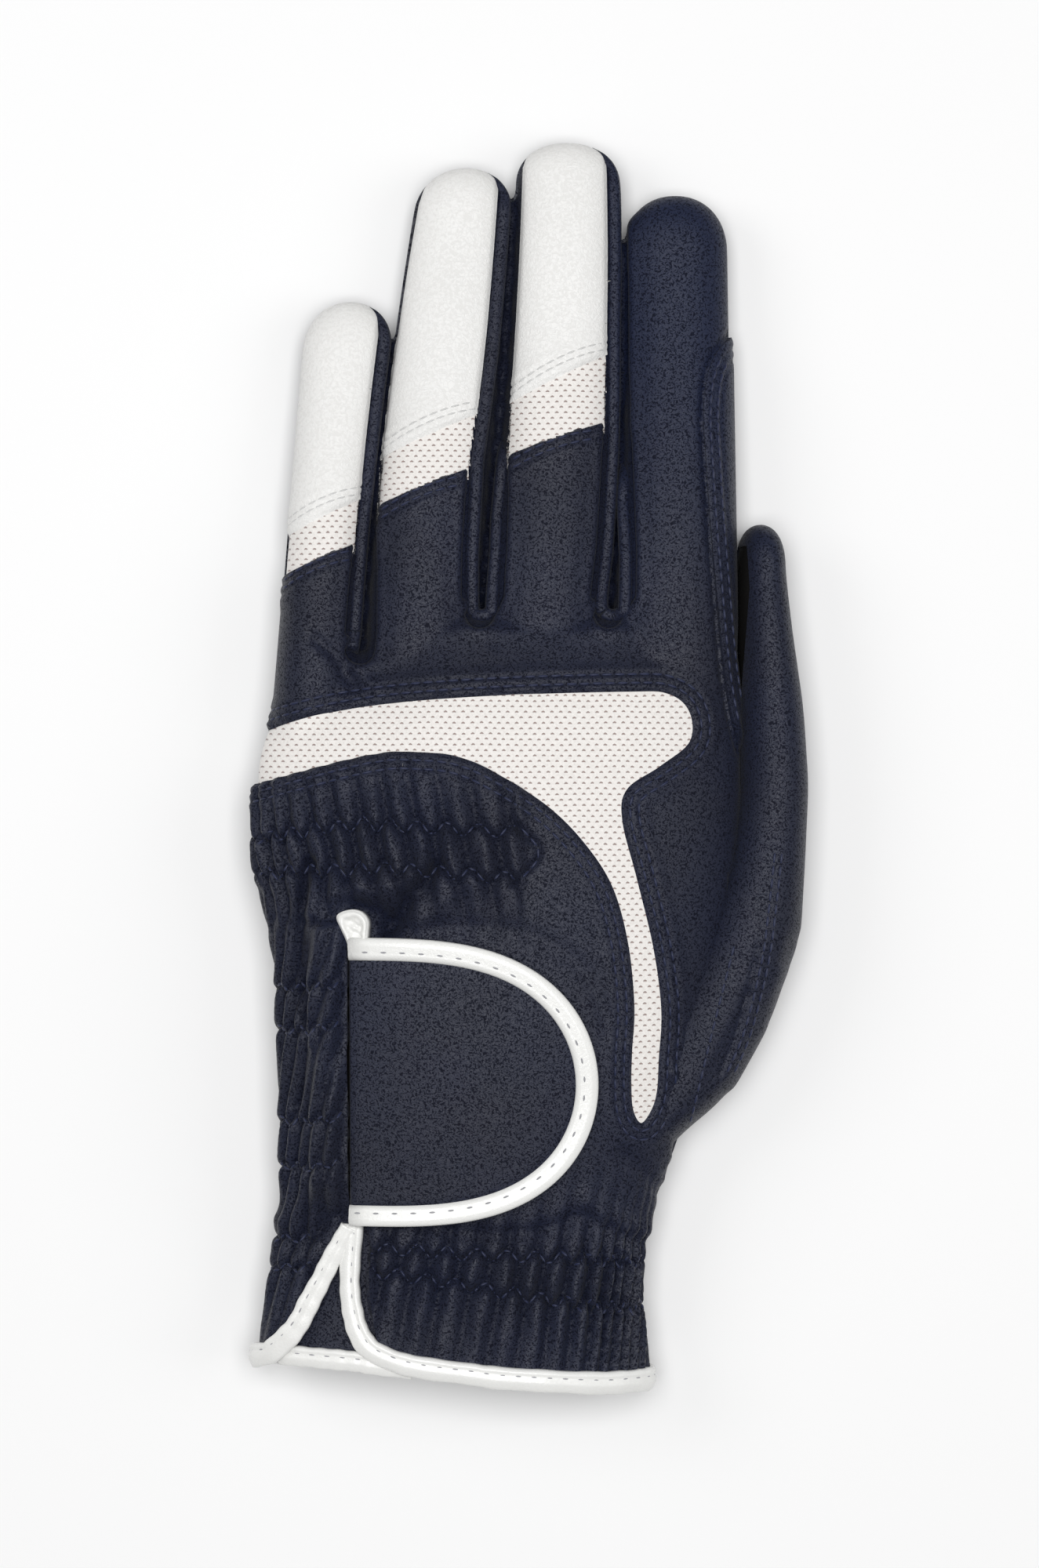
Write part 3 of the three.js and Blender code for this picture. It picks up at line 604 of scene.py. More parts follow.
def shirred(x, y, z):
    below_crest = np.clip(0.97 * hand_height - 4 - z, 0, None)
    across = np.where(x < 0, x - 0.75 * below_crest, x + 0.75 * below_crest)
    height, painted_shade = np.zeros(len(x)), np.zeros(len(x))
    for zone in shirrings:
        phase = shirr_phase(zone, across, y)
        wave = zone["wave"] * zigzag(phase)
        upper = np.interp(x, *np.array(zone["rows"][0]).T) - wave
        lower = np.interp(x, *np.array(zone["rows"][1]).T) + wave
        inside = smooth(x, zone["left"] - 1, zone["left"] + 1)
        inside = inside * (1 - smooth(x, zone["right"] - 1, zone["right"] + 2))
        uneven = 0.85 + 0.15 * np.sin(1.7 * x + 0.9) * np.cos(0.31 * y)
        apart = 0.5 + 0.5 * np.cos(phase)
        near = np.where(y > upper, np.exp(-(np.abs(y - upper) / zone["rise_above"]) ** 1.4), 1.0)
        near = np.where(y < lower, np.exp(-(np.abs(lower - y) / zone["fall_below"]) ** 1.4), near)
        puff = np.where((y <= upper) & (y >= lower), 1 - apart, apart * near)
        pinch = np.minimum(np.abs(y - upper), np.abs(y - lower))
        height += inside * (zone["height"] * uneven * puff**0.8 * (1 - 0.75 * bump(pinch, 1.3))
                            - 0.35 * bump(pinch, 0.45))
        # Painted shade: the puffs' flanks and the pinched rows, where the valleys fall into shade, are
        # marked so the colour is darkened there.
        flank = near * (1 - smooth(puff / np.maximum(near, 1e-3), 0.0, 0.6))
        painted_shade += inside * (0.9 * flank + bump(pinch, 0.8))
    return height, painted_shade


def back_relief(at):
    x, y, z = at.T
    flat = at[:, :2]
    height, painted_shade = shirred(x, y, z)
    for points, rise, width in folds:
        fold = bump(gap(flat, curve(points, 6)), width)
        height += rise * fold
        # Painted shade: the colour is darkened along deep creases.
        painted_shade += np.clip(-rise - 0.5, 0, 0.9) * fold
    laps = [window_line, *(seam_line(name, cloth_seams) for name in cloth_seams)]
    for line in laps:
        off = gap(flat, line)
        height += 0.3 * (1 - smooth(off, 3.4, 6)) - 0.75 * bump(off, 0.5)
        for row in lap_rows:
            height -= 0.3 * bump(off - row, 0.35)
            # Painted shade in the grooves of the stitch rows.
            painted_shade += 0.45 * bump(off - row, 0.45)
    for place in range(3):
        off = gap(flat, gusset_outline(place))
        height += 0.35 * bump(off - 1.6, 1.0) - 1.1 * bump(off, 0.8)
    fold = smooth(x, -38, -32.4) * smooth(y, 33, 41) * (1 - smooth(y, 86, 92)) * (1 - smooth(x, -28, -25))
    height += fold_height * fold * (1 - 0.45 * smooth(x, -30.8, fold_edge))
    # Less painted shade along the fold's crest by the tab.
    painted_shade *= 1 - 0.5 * fold
    off = gap(flat, strip_line)
    height -= 0.5 * bump(off, 0.7) * (x < np.interp(y, *strip_line[::-1].T[::-1]))
    return height, painted_shade


def plug(tree, socket, value):
    if isinstance(value, bpy.types.NodeSocket):
        tree.links.new(value, socket)
    else:
        socket.default_value = value


def feed(tree, made, **sockets):
    for key, value in sockets.items():
        plug(tree, made.inputs[key.replace("_", " ")], value)


def node(tree, kind, settings=None, **sockets):
    made = tree.nodes.new(kind)
    for key, value in (settings or {}).items():
        setattr(made, key, value)
    feed(tree, made, **sockets)
    return made


def sums(tree, operation, *values, kind="ShaderNodeMath"):
    made = node(tree, kind, {"operation": operation})
    for socket, value in zip(made.inputs, values):
        plug(tree, socket, value)
    return made.outputs[0]


def noise(tree, place, scale, detail=1.0, output="Fac", **sockets):
    made = node(tree, "ShaderNodeTexNoise", Vector=place, Scale=scale, Detail=detail, **sockets)
    return made.outputs[output]


def shaken(tree, place, scale, reach):
    wobble = noise(tree, place, scale, output="Color")
    return sums(tree, "MULTIPLY_ADD", wobble, reach, place, kind="ShaderNodeVectorMath")


def mixed(tree, share, first, second):
    mix = node(tree, "ShaderNodeMix", {"data_type": "RGBA"})
    for socket, value in ((mix.inputs[0], share), (mix.inputs[6], first), (mix.inputs[7], second)):
        plug(tree, socket, value)
    return mix.outputs[2]


def dimmed(colour, share):
    return tuple(share * level for level in colour[:3]) + (1,)


def ramp(tree, value, low, high, low_shade=0.0, high_shade=1.0):
    made = node(tree, "ShaderNodeMapRange", Value=value, From_Min=low, From_Max=high, To_Min=low_shade,
                To_Max=high_shade)
    return made.outputs["Result"]


def new_finish(name):
    finish = bpy.data.materials.new(name)
    finish.use_nodes = True
    tree = finish.node_tree
    return finish, tree, tree.nodes["Principled BSDF"], node(tree, "ShaderNodeTexCoord").outputs["Object"]


def bumped(tree, shader, height, strength, distance):
    made = node(tree, "ShaderNodeBump", Height=height, Strength=strength, Distance=distance)
    feed(tree, shader, Normal=made.outputs["Normal"])


def leather_finish(name, skin, pit, patch, roughness, grain, depth, coat=0.0, pit_share=1.0, specular=0.5,
                   tip=None):
    finish, tree, shader, place = new_finish(name)
    blotch = noise(tree, place, 45.0, 2.0)
    moved = shaken(tree, place, grain * 0.35, (0.0011, 0.0011, 0.0011))
    open_pits = ramp(tree, noise(tree, moved, grain, 1.5, Roughness=0.55), 0.40, 0.50)
    creases = node(tree, "ShaderNodeTexVoronoi", {"feature": "DISTANCE_TO_EDGE"}, Vector=moved,
                   Scale=grain * 0.75).outputs["Distance"]
    tone = mixed(tree, ramp(tree, blotch, 0.35, 0.65), skin, patch)
    if tip is not None:
        split = node(tree, "ShaderNodeSeparateXYZ", Vector=place)
        at_tip = sums(tree, "MULTIPLY", ramp(tree, split.outputs["Y"], 0.02, 0.08),
                      ramp(tree, split.outputs["X"], 0.012, 0.018))
        tone = mixed(tree, at_tip, tone, tip)
    pitted = mixed(tree, ramp(tree, open_pits, 0, 1, pit_share, 0.0), tone, pit)
    # Painted shade: where the painted-shade mask is set, the colour is mixed towards a third of the skin's
    # colour and the specular level is weakened.
    painted_shade = node(tree, "ShaderNodeAttribute", {"attribute_name": "painted_shade"}).outputs["Fac"]
    pitted = mixed(tree, ramp(tree, painted_shade, 0, 1, 0.0, 0.3), pitted, dimmed(skin, 0.3))
    gloss = sums(tree, "MULTIPLY", ramp(tree, painted_shade, 0, 1, specular, 0.4 * specular),
                 ramp(tree, open_pits, 0, 1, 1 - 0.85 * pit_share, 1.0))
    rough = ramp(tree, open_pits, 0, 1, min(1, roughness + 0.2), roughness)
    feed(tree, shader, Base_Color=pitted, Specular_IOR_Level=gloss, Roughness=rough, Sheen_Weight=0.05,
         Sheen_Roughness=0.5, Coat_Weight=coat, Coat_Roughness=0.2)
    bumped(tree, shader, sums(tree, "MULTIPLY", open_pits, ramp(tree, creases, 0.0, 0.12)), depth, 0.0003)
    return finish


def thread_finish(name, colour, sheen=0.3):
    finish, tree, shader, place = new_finish(name)
    twist = noise(tree, place, 4500.0)
    feed(tree, shader, Base_Color=mixed(tree, twist, dimmed(colour, 0.6), colour), Roughness=0.55,
         Sheen_Weight=sheen)
    bumped(tree, shader, twist, 0.4, 0.0001)
    return finish


def dressed(piece, finish):
    piece.data.materials.clear()
    piece.data.materials.append(finish)
    return piece


def shown(piece, finish, cad_node=None):
    dressed(piece, finish)
    if cad_node:
        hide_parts(cad_node)
    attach(piece, "root")


def on_top(line, pieces):
    trees = []
    for piece in pieces:
        trees.append(BVHTree.FromObject(piece, bpy.context.evaluated_depsgraph_get()))
    found = []
    for x, y, _ in placed(np.column_stack([line, np.zeros(len(line))])):
        hits = [tree.ray_cast(Vector((x, y, 0.2)), Vector((0, 0, -1)))[0] for tree in trees]
        hits = [hit for hit in hits if hit is not None]
        if hits:
            found.append(max(hits, key=lambda hit: hit.z))
    return np.array(found)


def sewn(name, rows, stitch, finish):
    length, pitch, radius = stitch
    bead = added(bpy.ops.mesh.primitive_uv_sphere_add, segments=8, ring_count=6, radius=1)
    bead_points = coordinates(bead)
    bead_faces = [tuple(face.vertices) for face in bead.data.polygons]
    bpy.data.objects.remove(bead)
    points, faces = [], []
    for row in rows:
        steps = np.linalg.norm(np.diff(row, axis=0), axis=1)
        reach = np.concatenate([[0], np.cumsum(steps)])
        starts = np.arange(0.3 * pitch * mm, reach[-1] - length * mm, pitch * mm)
        for start in starts:
            ends = [np.array([np.interp(at, reach, row[:, k]) for k in range(3)])
                    for at in (start, start + length * mm)]
            along = ends[1] - ends[0]
            half = np.linalg.norm(along) / 2
            along /= 2 * half
            side = np.cross(along, (0, 0, 1))
            side /= max(np.linalg.norm(side), 1e-9)
            up = np.cross(side, along)
            axes = np.array([side * radius * mm, up * radius * mm, along * half])
            faces += [tuple(k + len(points) for k in face) for face in bead_faces]
            points += list((ends[0] + ends[1]) / 2 + bead_points @ axes)
    mesh = bpy.data.meshes.new(name)
    mesh.from_pydata(points, [], faces)
    threads = bpy.data.objects.new(name, mesh)
    bpy.context.collection.objects.link(threads)
    shown(smoothed(threads), finish)


back = copied(upper_half, "back_leather")
removals = [top_outline(name, cloth_seams) for name in cloth_seams]
removals += [gusset_outline(place) for place in range(3)]
removals += [window_line, slit_outline(), band(below_hem, binding_width)]
for outline in removals:
    cut(back, cutter(outline), "DIFFERENCE")
rimmed(raised(open_skin(back), back_relief))
navy_leather = leather_finish("navy_leather", skin=(0.0110, 0.0135, 0.029, 1),
                              pit=(0.0015, 0.0018, 0.006, 1), patch=(0.0095, 0.0130, 0.033, 1),
                              tip=(0.0070, 0.0125, 0.040, 1), roughness=0.5, grain=2700, depth=0.22,
                              pit_share=0.75, specular=0.34)
navy_thread = thread_finish("navy_thread", (0.010, 0.017, 0.062, 1), sheen=0.1)
shown(back, navy_leather, "back_panel")

# Stitches: length, pitch, thread radius
navy_stitch = (1.9, 2.35, 0.27)
seam_rows = [beside(window_line, lap_rows[0]), beside(window_line, lap_rows[1])]
seam_rows += [seam_line(name, cloth_seams, -row) for name in cloth_seams for row in lap_rows]
for zone in shirrings:
    x = np.arange(max(zone["left"], -46), min(zone["right"], 26), 0.35)
    for k, sign in ((0, -1), (1, 1)):
        base = np.interp(x, *np.array(zone["rows"][k]).T)
        wave = sign * zone["wave"] * zigzag(shirr_phase(zone, x, base))
        seam_rows.append(np.column_stack([x, base + wave]))
seam_rows.append([(2.4, 105.2), (6.1, 100.0), (1.6, 94.4)])
rows = [on_top(curve(line, 4), [back]) for line in seam_rows]
sewn("back_threads", [row for row in rows if len(row) > 3], navy_stitch, navy_thread)


# White leather over the ends of the little, ring and middle fingers. Each piece is folded under at
# its lower edge and laps over the mesh with two rows of white stitches.
white_rows = (1.0, 2.3)
white_stitch = (1.7, 2.1, 0.2)


def white_relief(name):
    outline = top_outline(name, white_seams)
    edges = np.concatenate([outline, outline[:1]])
    low = seam_line(name, white_seams)

    def relief(at):
        flat = at[:, :2]
        height = -0.5 * bump(gap(flat, edges), 0.7) + 0.15 * (1 - smooth(gap(flat, low), 2.5, 4.5))
        for row in white_rows:
            height -= 0.2 * bump(gap(flat, low) - row, 0.3)
        return height

    return relief


white_leather = leather_finish("white_leather", skin=(0.86, 0.855, 0.84, 1), pit=(0.70, 0.69, 0.67, 1),
                               patch=(0.83, 0.825, 0.81, 1), roughness=0.5, grain=1500, depth=0.25,
                               pit_share=0.35)
white_thread = thread_finish("white_thread", (0.78, 0.78, 0.77, 1))
whites = {}
for name in white_seams:
    whites[name] = panel(f"{name}_white", top_outline(name, white_seams), white_relief(name))
    shown(whites[name], white_leather, f"{name}_top")
rows = [on_top(curve(seam_line(name, white_seams, row), 4), [whites[name]])
        for name in whites for row in white_rows]
sewn("white_threads", rows, white_stitch, white_thread)


# White mesh: stretch fabric with rows of small holes, let in across three fingers and in the
# window of the back. It lies under the folded edges of the leather around it.
under_lap = 2.2
mesh_depth = 0.5
mesh_thickness = 0.6
hole_pitch = 1.62
row_pitch = hole_pitch * 0.62
hole_width = 0.64
hole_height = 0.30


def mesh_finish(name):
    finish, tree, shader, place = new_finish(name)
    calc = partial(sums, tree)
    split = node(tree, "ShaderNodeSeparateXYZ", Vector=shaken(tree, place, 160.0, (0.0005, 0.0005, 0.0)))
    row = calc("DIVIDE", split.outputs["Y"], row_pitch * mm)
    odd = calc("FLOORED_MODULO", calc("FLOOR", row), 2.0)
    column = calc("MULTIPLY_ADD", odd, 0.5, calc("DIVIDE", split.outputs["X"], hole_pitch * mm))
    across = calc("SUBTRACT", calc("FRACT", column), 0.5)
    upward = calc("SUBTRACT", calc("FRACT", row), 0.5)
    slanted = calc("MULTIPLY_ADD", calc("ABSOLUTE", across), 0.55, upward)
    wide = calc("POWER", calc("ABSOLUTE", calc("DIVIDE", across, hole_width / 2 / hole_pitch)), 2.0)
    tall = calc("POWER", calc("ABSOLUTE", calc("DIVIDE", slanted, hole_height / 2 / row_pitch)), 2.0)
    cloth = ramp(tree, calc("ADD", wide, tall), 0.5, 1.5)
    yarn = noise(tree, place, 2600.0)
    white = mixed(tree, yarn, (0.72, 0.69, 0.66, 1), (0.95, 0.92, 0.89, 1))
    feed(tree, shader, Base_Color=mixed(tree, cloth, (0.36, 0.27, 0.25, 1), white), Roughness=0.85,
         Sheen_Weight=0.25)
    bumped(tree, shader, calc("MULTIPLY_ADD", yarn, 0.35, cloth), 0.6, 0.0003)
    return finish


white_mesh = mesh_finish("white_mesh")
meshes = {}
for name in white_seams:
    outline = top_outline(name, cloth_seams, -under_lap, seam_line(name, white_seams, under_lap))
    meshes[f"{name}_mesh"] = panel(f"{name}_insert", outline, sunk(mesh_depth), mesh_thickness)
meshes["back_mesh"] = panel("window_mesh", beside(window_line, under_lap), sunk(mesh_depth), mesh_thickness)
for cad_node, piece in meshes.items():
    shown(piece, white_mesh, cad_node)


# Gussets between the fingers: narrow strips of navy leather that make the fingers' sides. Their
# edges are turned into two soft rolls that meet in a folded foot at the crotch.
roll_width = 2.6
roll_height = 4.4
roll_square = 2.9
roll_taper = 22
roll_inset = 0.3
leg_reach = (0, 32, 28)
wall_lap = 0.5
wall_depth = 0.5
wall_thickness = 0.8


def sides_of(path, out):
    along = np.gradient(path, axis=0)
    along /= np.linalg.norm(along, axis=1)[:, None]
    across = np.cross(along, out)
    across /= np.linalg.norm(across, axis=1)[:, None]
    return across, np.cross(across, along)


def swept(name, path, across, up, profile):
    rings = [p + profile[:, :1] * a + profile[:, 1:] * u for p, a, u in zip(path, across, up)]
    return smoothed(tube(name, placed(rings)))


def oval(width, height, count=20, square=2.0):
    angle = np.linspace(0, 2 * np.pi, count, endpoint=False)
    c, s = np.cos(angle), np.sin(angle)
    return np.stack([width / 2 * np.sign(c) * np.abs(c) ** (2 / square),
                     height / 2 * np.sign(s) * np.abs(s) ** (2 / square)], axis=1)


def roll_leg(place, side, y):
    finger = finger_list[place]
    centre, half = finger_edges(place, y)
    narrowed = tip_share(y, finger["start"] + finger["length"], half * finger["tip_round"])
    x = top_side(place, side, y) - side * (roll_inset - roll_width / 2)
    x = centre + np.clip(x - centre, -(half * narrowed - 0.8), half * narrowed - 0.8)
    middle = finger_top(place, y) / 2
    inner = np.clip(np.abs(x - centre) / half / np.maximum(narrowed, 1e-3), 0, 1)
    top = middle + middle * narrowed**0.8 * (1 - inner**roundness) ** (1 / roundness)
    return np.stack([x, y, top - 0.28 * roll_height], axis=1)


gusset_nodes = ("little_ring_gusset", "ring_middle_gusset", "middle_index_gusset")
skin = BVHTree.FromObject(form, bpy.context.evaluated_depsgraph_get())
for place, gusset in enumerate(gusset_nodes):
    # Painted shade: the gusset walls between the fingers carry a painted-shade mask of one all over, so
    # their leather colour is darkened.
    wall = panel(f"{gusset}_wall", gusset_outline(place, wall_lap),
                 lambda at: (sunk(wall_depth)(at), np.ones(len(at))), wall_thickness)
    crotch = crotch_of(place)
    low = crotch + 3
    tip = finger_list[place]["start"] + finger_list[place]["length"]
    path = roll_leg(place, 1, np.linspace(tip - 1.2, low, 70))
    if leg_reach[place]:
        right = roll_leg(place + 1, -1, np.linspace(low, low + leg_reach[place], 30))
        right[:, 2] -= 4 * smooth(right[:, 1], right[-1, 1] - 9, right[-1, 1])
        angle = np.linspace(np.pi, 2 * np.pi, 11)[1:-1]
        middle, span = (path[-1] + right[0]) / 2, abs(right[0, 0] - path[-1, 0]) / 2
        foot = np.stack([middle[0] + span * np.cos(angle), crotch + 1.6 + 1.9 * np.sin(angle),
                         middle[2] + 0 * angle], axis=1)
        path = np.concatenate([path[:-1], foot, right[1:]])
    else:
        path = np.concatenate([path, path[-1:] + (-0.5, -3.2, -0.2)])
    path = curve(path, 3)
    for point, seen in zip(path, placed(path)):
        hit = skin.ray_cast(Vector((seen[0], seen[1], 0.2)), Vector((0, 0, -1)))[0]
        if hit is not None and point[1] < crotch + 9:
            blend = float(smooth(point[1], crotch + 3, crotch + 9))
            rest = hit.z / mm - 0.2 * roll_height
            point[2] = max(point[2] * blend + rest * (1 - blend), point[2])
    order = np.arange(len(path))
    taper = 0.12 + 0.88 * np.sqrt(smooth(order, -1, roll_taper))
    if leg_reach[place]:
        taper *= 0.12 + 0.88 * np.sqrt(smooth(len(path) - order, 0, roll_taper))
    across, up = (side * taper[:, None] for side in sides_of(path, (0, 0, 1)))
    roll = swept(f"{gusset}_rolls", path, across, up, oval(roll_width, roll_height, 24, roll_square))
    for piece in (wall, roll):
        shown(piece, navy_leather, gusset)


# The palm: one soft navy leather panel that also makes the fronts of the fingers. It is pressed flat
# where it lies, and open at the wrist.
palm_hem = 2.6
palm = cut(copied(form, "palm_leather"), seam_block(False, 0.4), "INTERSECT")
rimmed(open_skin(cut(palm, cutter(band(below_hem, palm_hem)), "DIFFERENCE")))
palm_leather = leather_finish("palm_leather", skin=(0.015, 0.016, 0.030, 1), pit=(0.005, 0.006, 0.011, 1),
                              patch=(0.012, 0.015, 0.030, 1), roughness=0.55, grain=2300, depth=0.2)
shown(palm, palm_leather, "palm_panel")


# The thumb: navy leather sewn into the side of the palm, with a dark knit inset towards the index
# finger that lets it bend.
thumb_length = 161
thumb_height = 19
thumb_gap = 0.6
knit_low = 124
knit_high = 157
knit_width = 2.2
knit_floor = 4
knit_lap = 0.6
knit_depth = 0.4
knit_thickness = 0.6
thumb_sections = np.array([
    # along, left, right, top, lean
    (0.25, 0.180, 0.310, 0.90, 0.00),
    (0.29, 0.200, 0.360, 0.95, 0.00),
    (0.34, 0.250, 0.475, 1.02, 0.00),
    (0.43, 0.320, 0.568, 1.08, 0.04),
    (0.52, 0.400, 0.632, 1.12, 0.08),
    (0.61, 0.460, 0.641, 1.08, 0.10),
    (0.70, 0.488, 0.648, 1.04, 0.12),
    (0.79, 0.489, 0.637, 1.00, 0.12),
    (0.88, 0.490, 0.612, 0.98, 0.12),
    (0.95, 0.492, 0.598, 0.90, 0.12),
])


def thumb_rings():
    rings = []
    end = thumb_sections[-1, 0]
    for share in np.linspace(thumb_sections[0, 0], end, 70):
        near = share + np.linspace(-0.02, 0.02, 7)
        left, right, top, lean = (
            np.interp(near, thumb_sections[:, 0], thumb_sections[:, k]).mean() for k in (1, 2, 3, 4)
        )
        height = thumb_height * top
        rings.append(section(left * hand_width + thumb_gap, right * hand_width, -floor_sink,
                             height, share * thumb_length, 80, lean))
    for part in np.sin(np.linspace(0.02, 0.497, 20) * np.pi):
        shrink = (1 - part**2.2) ** (1 / 2.2)
        rise = height / 2 * shrink**0.8
        centre, half = (left + right) / 2 * hand_width, (right - left) / 2 * hand_width * shrink
        rings.append(section(centre - half + thumb_gap * shrink, centre + half,
                             height / 2 - rise - floor_sink, height / 2 + rise,
                             (end + (1 - end) * part) * thumb_length, 80, lean))
    return rings


thumb = blended(tube("thumb_leather", placed(thumb_rings())), 6)
knit_left = 0.489 * hand_width + thumb_gap


def knit_block(grow):
    outside = knit_left - 9
    return cutter([(outside, knit_low - grow), (knit_left + 0.3 + grow, knit_low - grow),
                   (knit_left + 0.7 * knit_width + grow, 0.5 * (knit_low + knit_high)),
                   (knit_left + knit_width + grow, knit_high - 8),
                   (knit_left + 0.8 * knit_width + grow, knit_high + grow), (outside, knit_high + grow)],
                  knit_floor - grow, 60)


knit = cut(copied(thumb, "thumb_knit"), knit_block(knit_lap), "INTERSECT")
cut(thumb, knit_block(0), "DIFFERENCE")
rimmed(raised(open_skin(knit), sunk(knit_depth)), knit_thickness)
thumb_folds = [
    ([(46.3, 83.8), (42.6, 67.6), (39.3, 59.5)], -0.5, 0.5),
    ([(47.3, 83.8), (43.8, 67.6), (40.3, 59.0)], 0.35, 1.2),
    ([(50.5, 78.0), (46.5, 66.0), (42.0, 57.0)], 0.5, 1.6),
    ([(44.5, 74.0), (41.0, 66.0), (37.0, 58.0)], -0.4, 1.2),
    ([(47.5, 70.0), (50.5, 76.0), (53.0, 84.0)], -0.35, 1.6),
]


def thumb_relief(at):
    height = np.zeros(len(at))
    for line, rise, width in thumb_folds:
        height += rise * bump(gap(at[:, :2], curve(line, 6)), width) * smooth(at[:, 2], 8, 12)
    return height


rimmed(raised(open_skin(thumb), thumb_relief))
thumb_seam = curve([(48.6, 101.0), (47.4, 90.0), (46.0, 80.0), (43.0, 67.6), (39.7, 59.5)], 10)
inner_seam = curve([(41.9, 83.8), (37.9, 68.0), (35.2, 56.5), (32.6, 45.5), (30.4, 40.6)], 10)
rows = [on_top(line, [thumb, back])
        for line in (beside(thumb_seam, 0.7), beside(thumb_seam, 2.0), inner_seam)]
sewn("thumb_threads", rows, navy_stitch, navy_thread)
dark_knit = thread_finish("dark_knit", (0.010, 0.009, 0.008, 1), sheen=0.0)
shown(thumb, navy_leather, "thumb")
shown(knit, dark_knit, "thumb_inset")


# The lap along the index finger's outer side: the palm leather comes round and is sewn over the back
# with a raw edge and two rows of stitches.
lap_thickness = 0.9
strip_rows = (1.4, 2.8)
lap_outline = np.concatenate([strip_line, [(60, 118.9), (60, 200)]])


def lap_relief(at):
    off = gap(at[:, :2], strip_line)
    height = np.full(len(at), lap_thickness)
    for row in strip_rows:
        height -= 0.25 * bump(off - row, 0.32)
    return height * smooth(at[:, 1], 118, 122) - 0.3 * bump(off, 0.4)


lap = panel("index_lap", lap_outline, lap_relief, lap_thickness + 0.3)
rows = [on_top(beside(strip_line, row)[24:-8], [lap]) for row in strip_rows]
sewn("lap_threads", rows, navy_stitch, navy_thread)
shown(lap, navy_leather, "index_side_strip")


# White binding: a glossy leather tape folded over the raw edges and sewn down along its inner edge.
# One length runs down the slit's right side and on round the whole hem, another down its left side.
binding_height = 2.6
tape_width = 4.3
stitch_inset = 1.45
binding_stitch = (1.1, 2.9, 0.17)
camera_axis = np.array([2.4, 112.8])
nearness = 1.012


def hand_point(theta, y, lift=0.0):
    left, right, top = hand_edges(y)
    centre, half = (left + right) / 2, (right - left) / 2
    middle, rise = (top - floor_sink) / 2, (top + floor_sink) / 2
    c, s = np.cos(theta), np.sin(theta)
    u = np.sign(c) * np.abs(c) ** (2 / roundness)
    w = np.sign(s) * np.abs(s) ** (2 / roundness)
    out = np.stack([np.sign(u) * np.abs(u) ** (roundness - 1) / half, np.zeros_like(u),
                    np.sign(w) * np.abs(w) ** (roundness - 1) / rise], axis=1)
    out /= np.linalg.norm(out, axis=1)[:, None]
    point = np.stack([centre + half * u, y, middle + rise * w], axis=1) + lift * out
    point[:, 2] = np.maximum(point[:, 2], binding_height / 2)
    return point, out


def theta_at(x, y):
    left, right, _ = hand_edges(y)
    u = np.clip((x - (left + right) / 2) / ((right - left) / 2), -1, 1)
    return np.arccos(np.sign(u) * np.abs(u) ** (roundness / 2))


def worn(points):
    points = camera_axis + (np.asarray(points, float) - camera_axis) / nearness
    seen = np.column_stack([points, np.zeros(len(points))]) * mm + (axis_x, hem_y, 0)
    return unplaced(seen)[:, :2]


def tape(name, theta, y, lift=0.5, width=tape_width, height=binding_height):
    path, out = hand_point(theta, y, lift)
    width = np.broadcast_to(width, len(path))[:, None]
    across, up = sides_of(path, out)
    profile = oval(1, height, 36, 2.8)
    sideways = profile[:, 0] * width
    groove = 0.4 * bump(sideways + width / 2 - stitch_inset, 0.4) * (profile[:, 1] > 0)
    upward = profile[:, 1] * (1 - 0.35 * smooth(profile[:, 0], -0.1, 0.5)) - groove
    order = np.arange(len(path))[:, None]
    crumple = 1 + 0.03 * np.sin(order * 0.9) + 0.02 * np.sin(order * 0.37)
    rings = path[:, None] + (sideways * crumple)[..., None] * across[:, None]
    rings = rings + (upward * crumple)[..., None] * up[:, None]
    row = path - across * (width / 2 - stitch_inset) + up * (height / 2 - 0.45)
    return smoothed(tube(name, placed(rings))), placed(row)


white_binding = leather_finish("white_binding", skin=(0.87, 0.87, 0.85, 1), pit=(0.76, 0.75, 0.73, 1),
                               patch=(0.84, 0.84, 0.82, 1), roughness=0.3, grain=1700, depth=0.12,
                               coat=0.35, pit_share=0.2)
# Painted shade: the stitches on the white bindings are grey beads. The thread itself is white, and the grey
# stands for the shade in the needle holes.
stitch_hole_shade = thread_finish("stitch_hole_shade", (0.42, 0.42, 0.45, 1))
right_edge = worn([(-28.3, 31.2), (-28.9, 23.6), (-28.9, 18.6), (-28.3, 14.5), (-27.3, 11.2),
                   (-25.1, 8.2), (-20.4, 6.0), (-15.2, 4.8), (-6.7, 3.7), (-1.9, 3.0), (8.6, 2.2),
                   (17.6, 1.6), (22.8, 1.6)])
right_path = curve(right_edge, 8)
turn = 150
hem_start = float(theta_at(*right_path[-1:].T)[0])
hem_theta = np.concatenate([theta_at(*right_path.T), np.linspace(hem_start - 0.05, -np.pi + 0.1, turn)])
hem_along = np.concatenate([right_path[:, 1], np.full(turn, right_path[-1, 1])])
hem_width = np.interp(hem_along[:len(right_path)], (3, 9, 15), (tape_width, tape_width, 3.8))
hem_width = np.concatenate([hem_width, np.full(turn, tape_width)])
hem_edge, hem_row = tape("hem_edge", hem_theta, hem_along, width=hem_width)
left_path = curve(worn([(-28.9, 30.8), (-30.6, 27.8), (-32.4, 24.3), (-34.2, 20.6), (-36.2, 16.8),
                        (-38.0, 13.1), (-40.1, 10.2), (-43.4, 6.9)]), 8)
turn = 14
left_end = float(theta_at(*left_path[-1:].T)[0])
left_theta = np.concatenate([theta_at(*left_path.T), left_end + np.linspace(0.06, 0.6, turn)])
left_along = np.concatenate([left_path[:, 1], left_path[-1, 1] - np.linspace(0.3, 1.9, turn)])
left_width = np.linspace(3.3, 5.0, len(left_along))
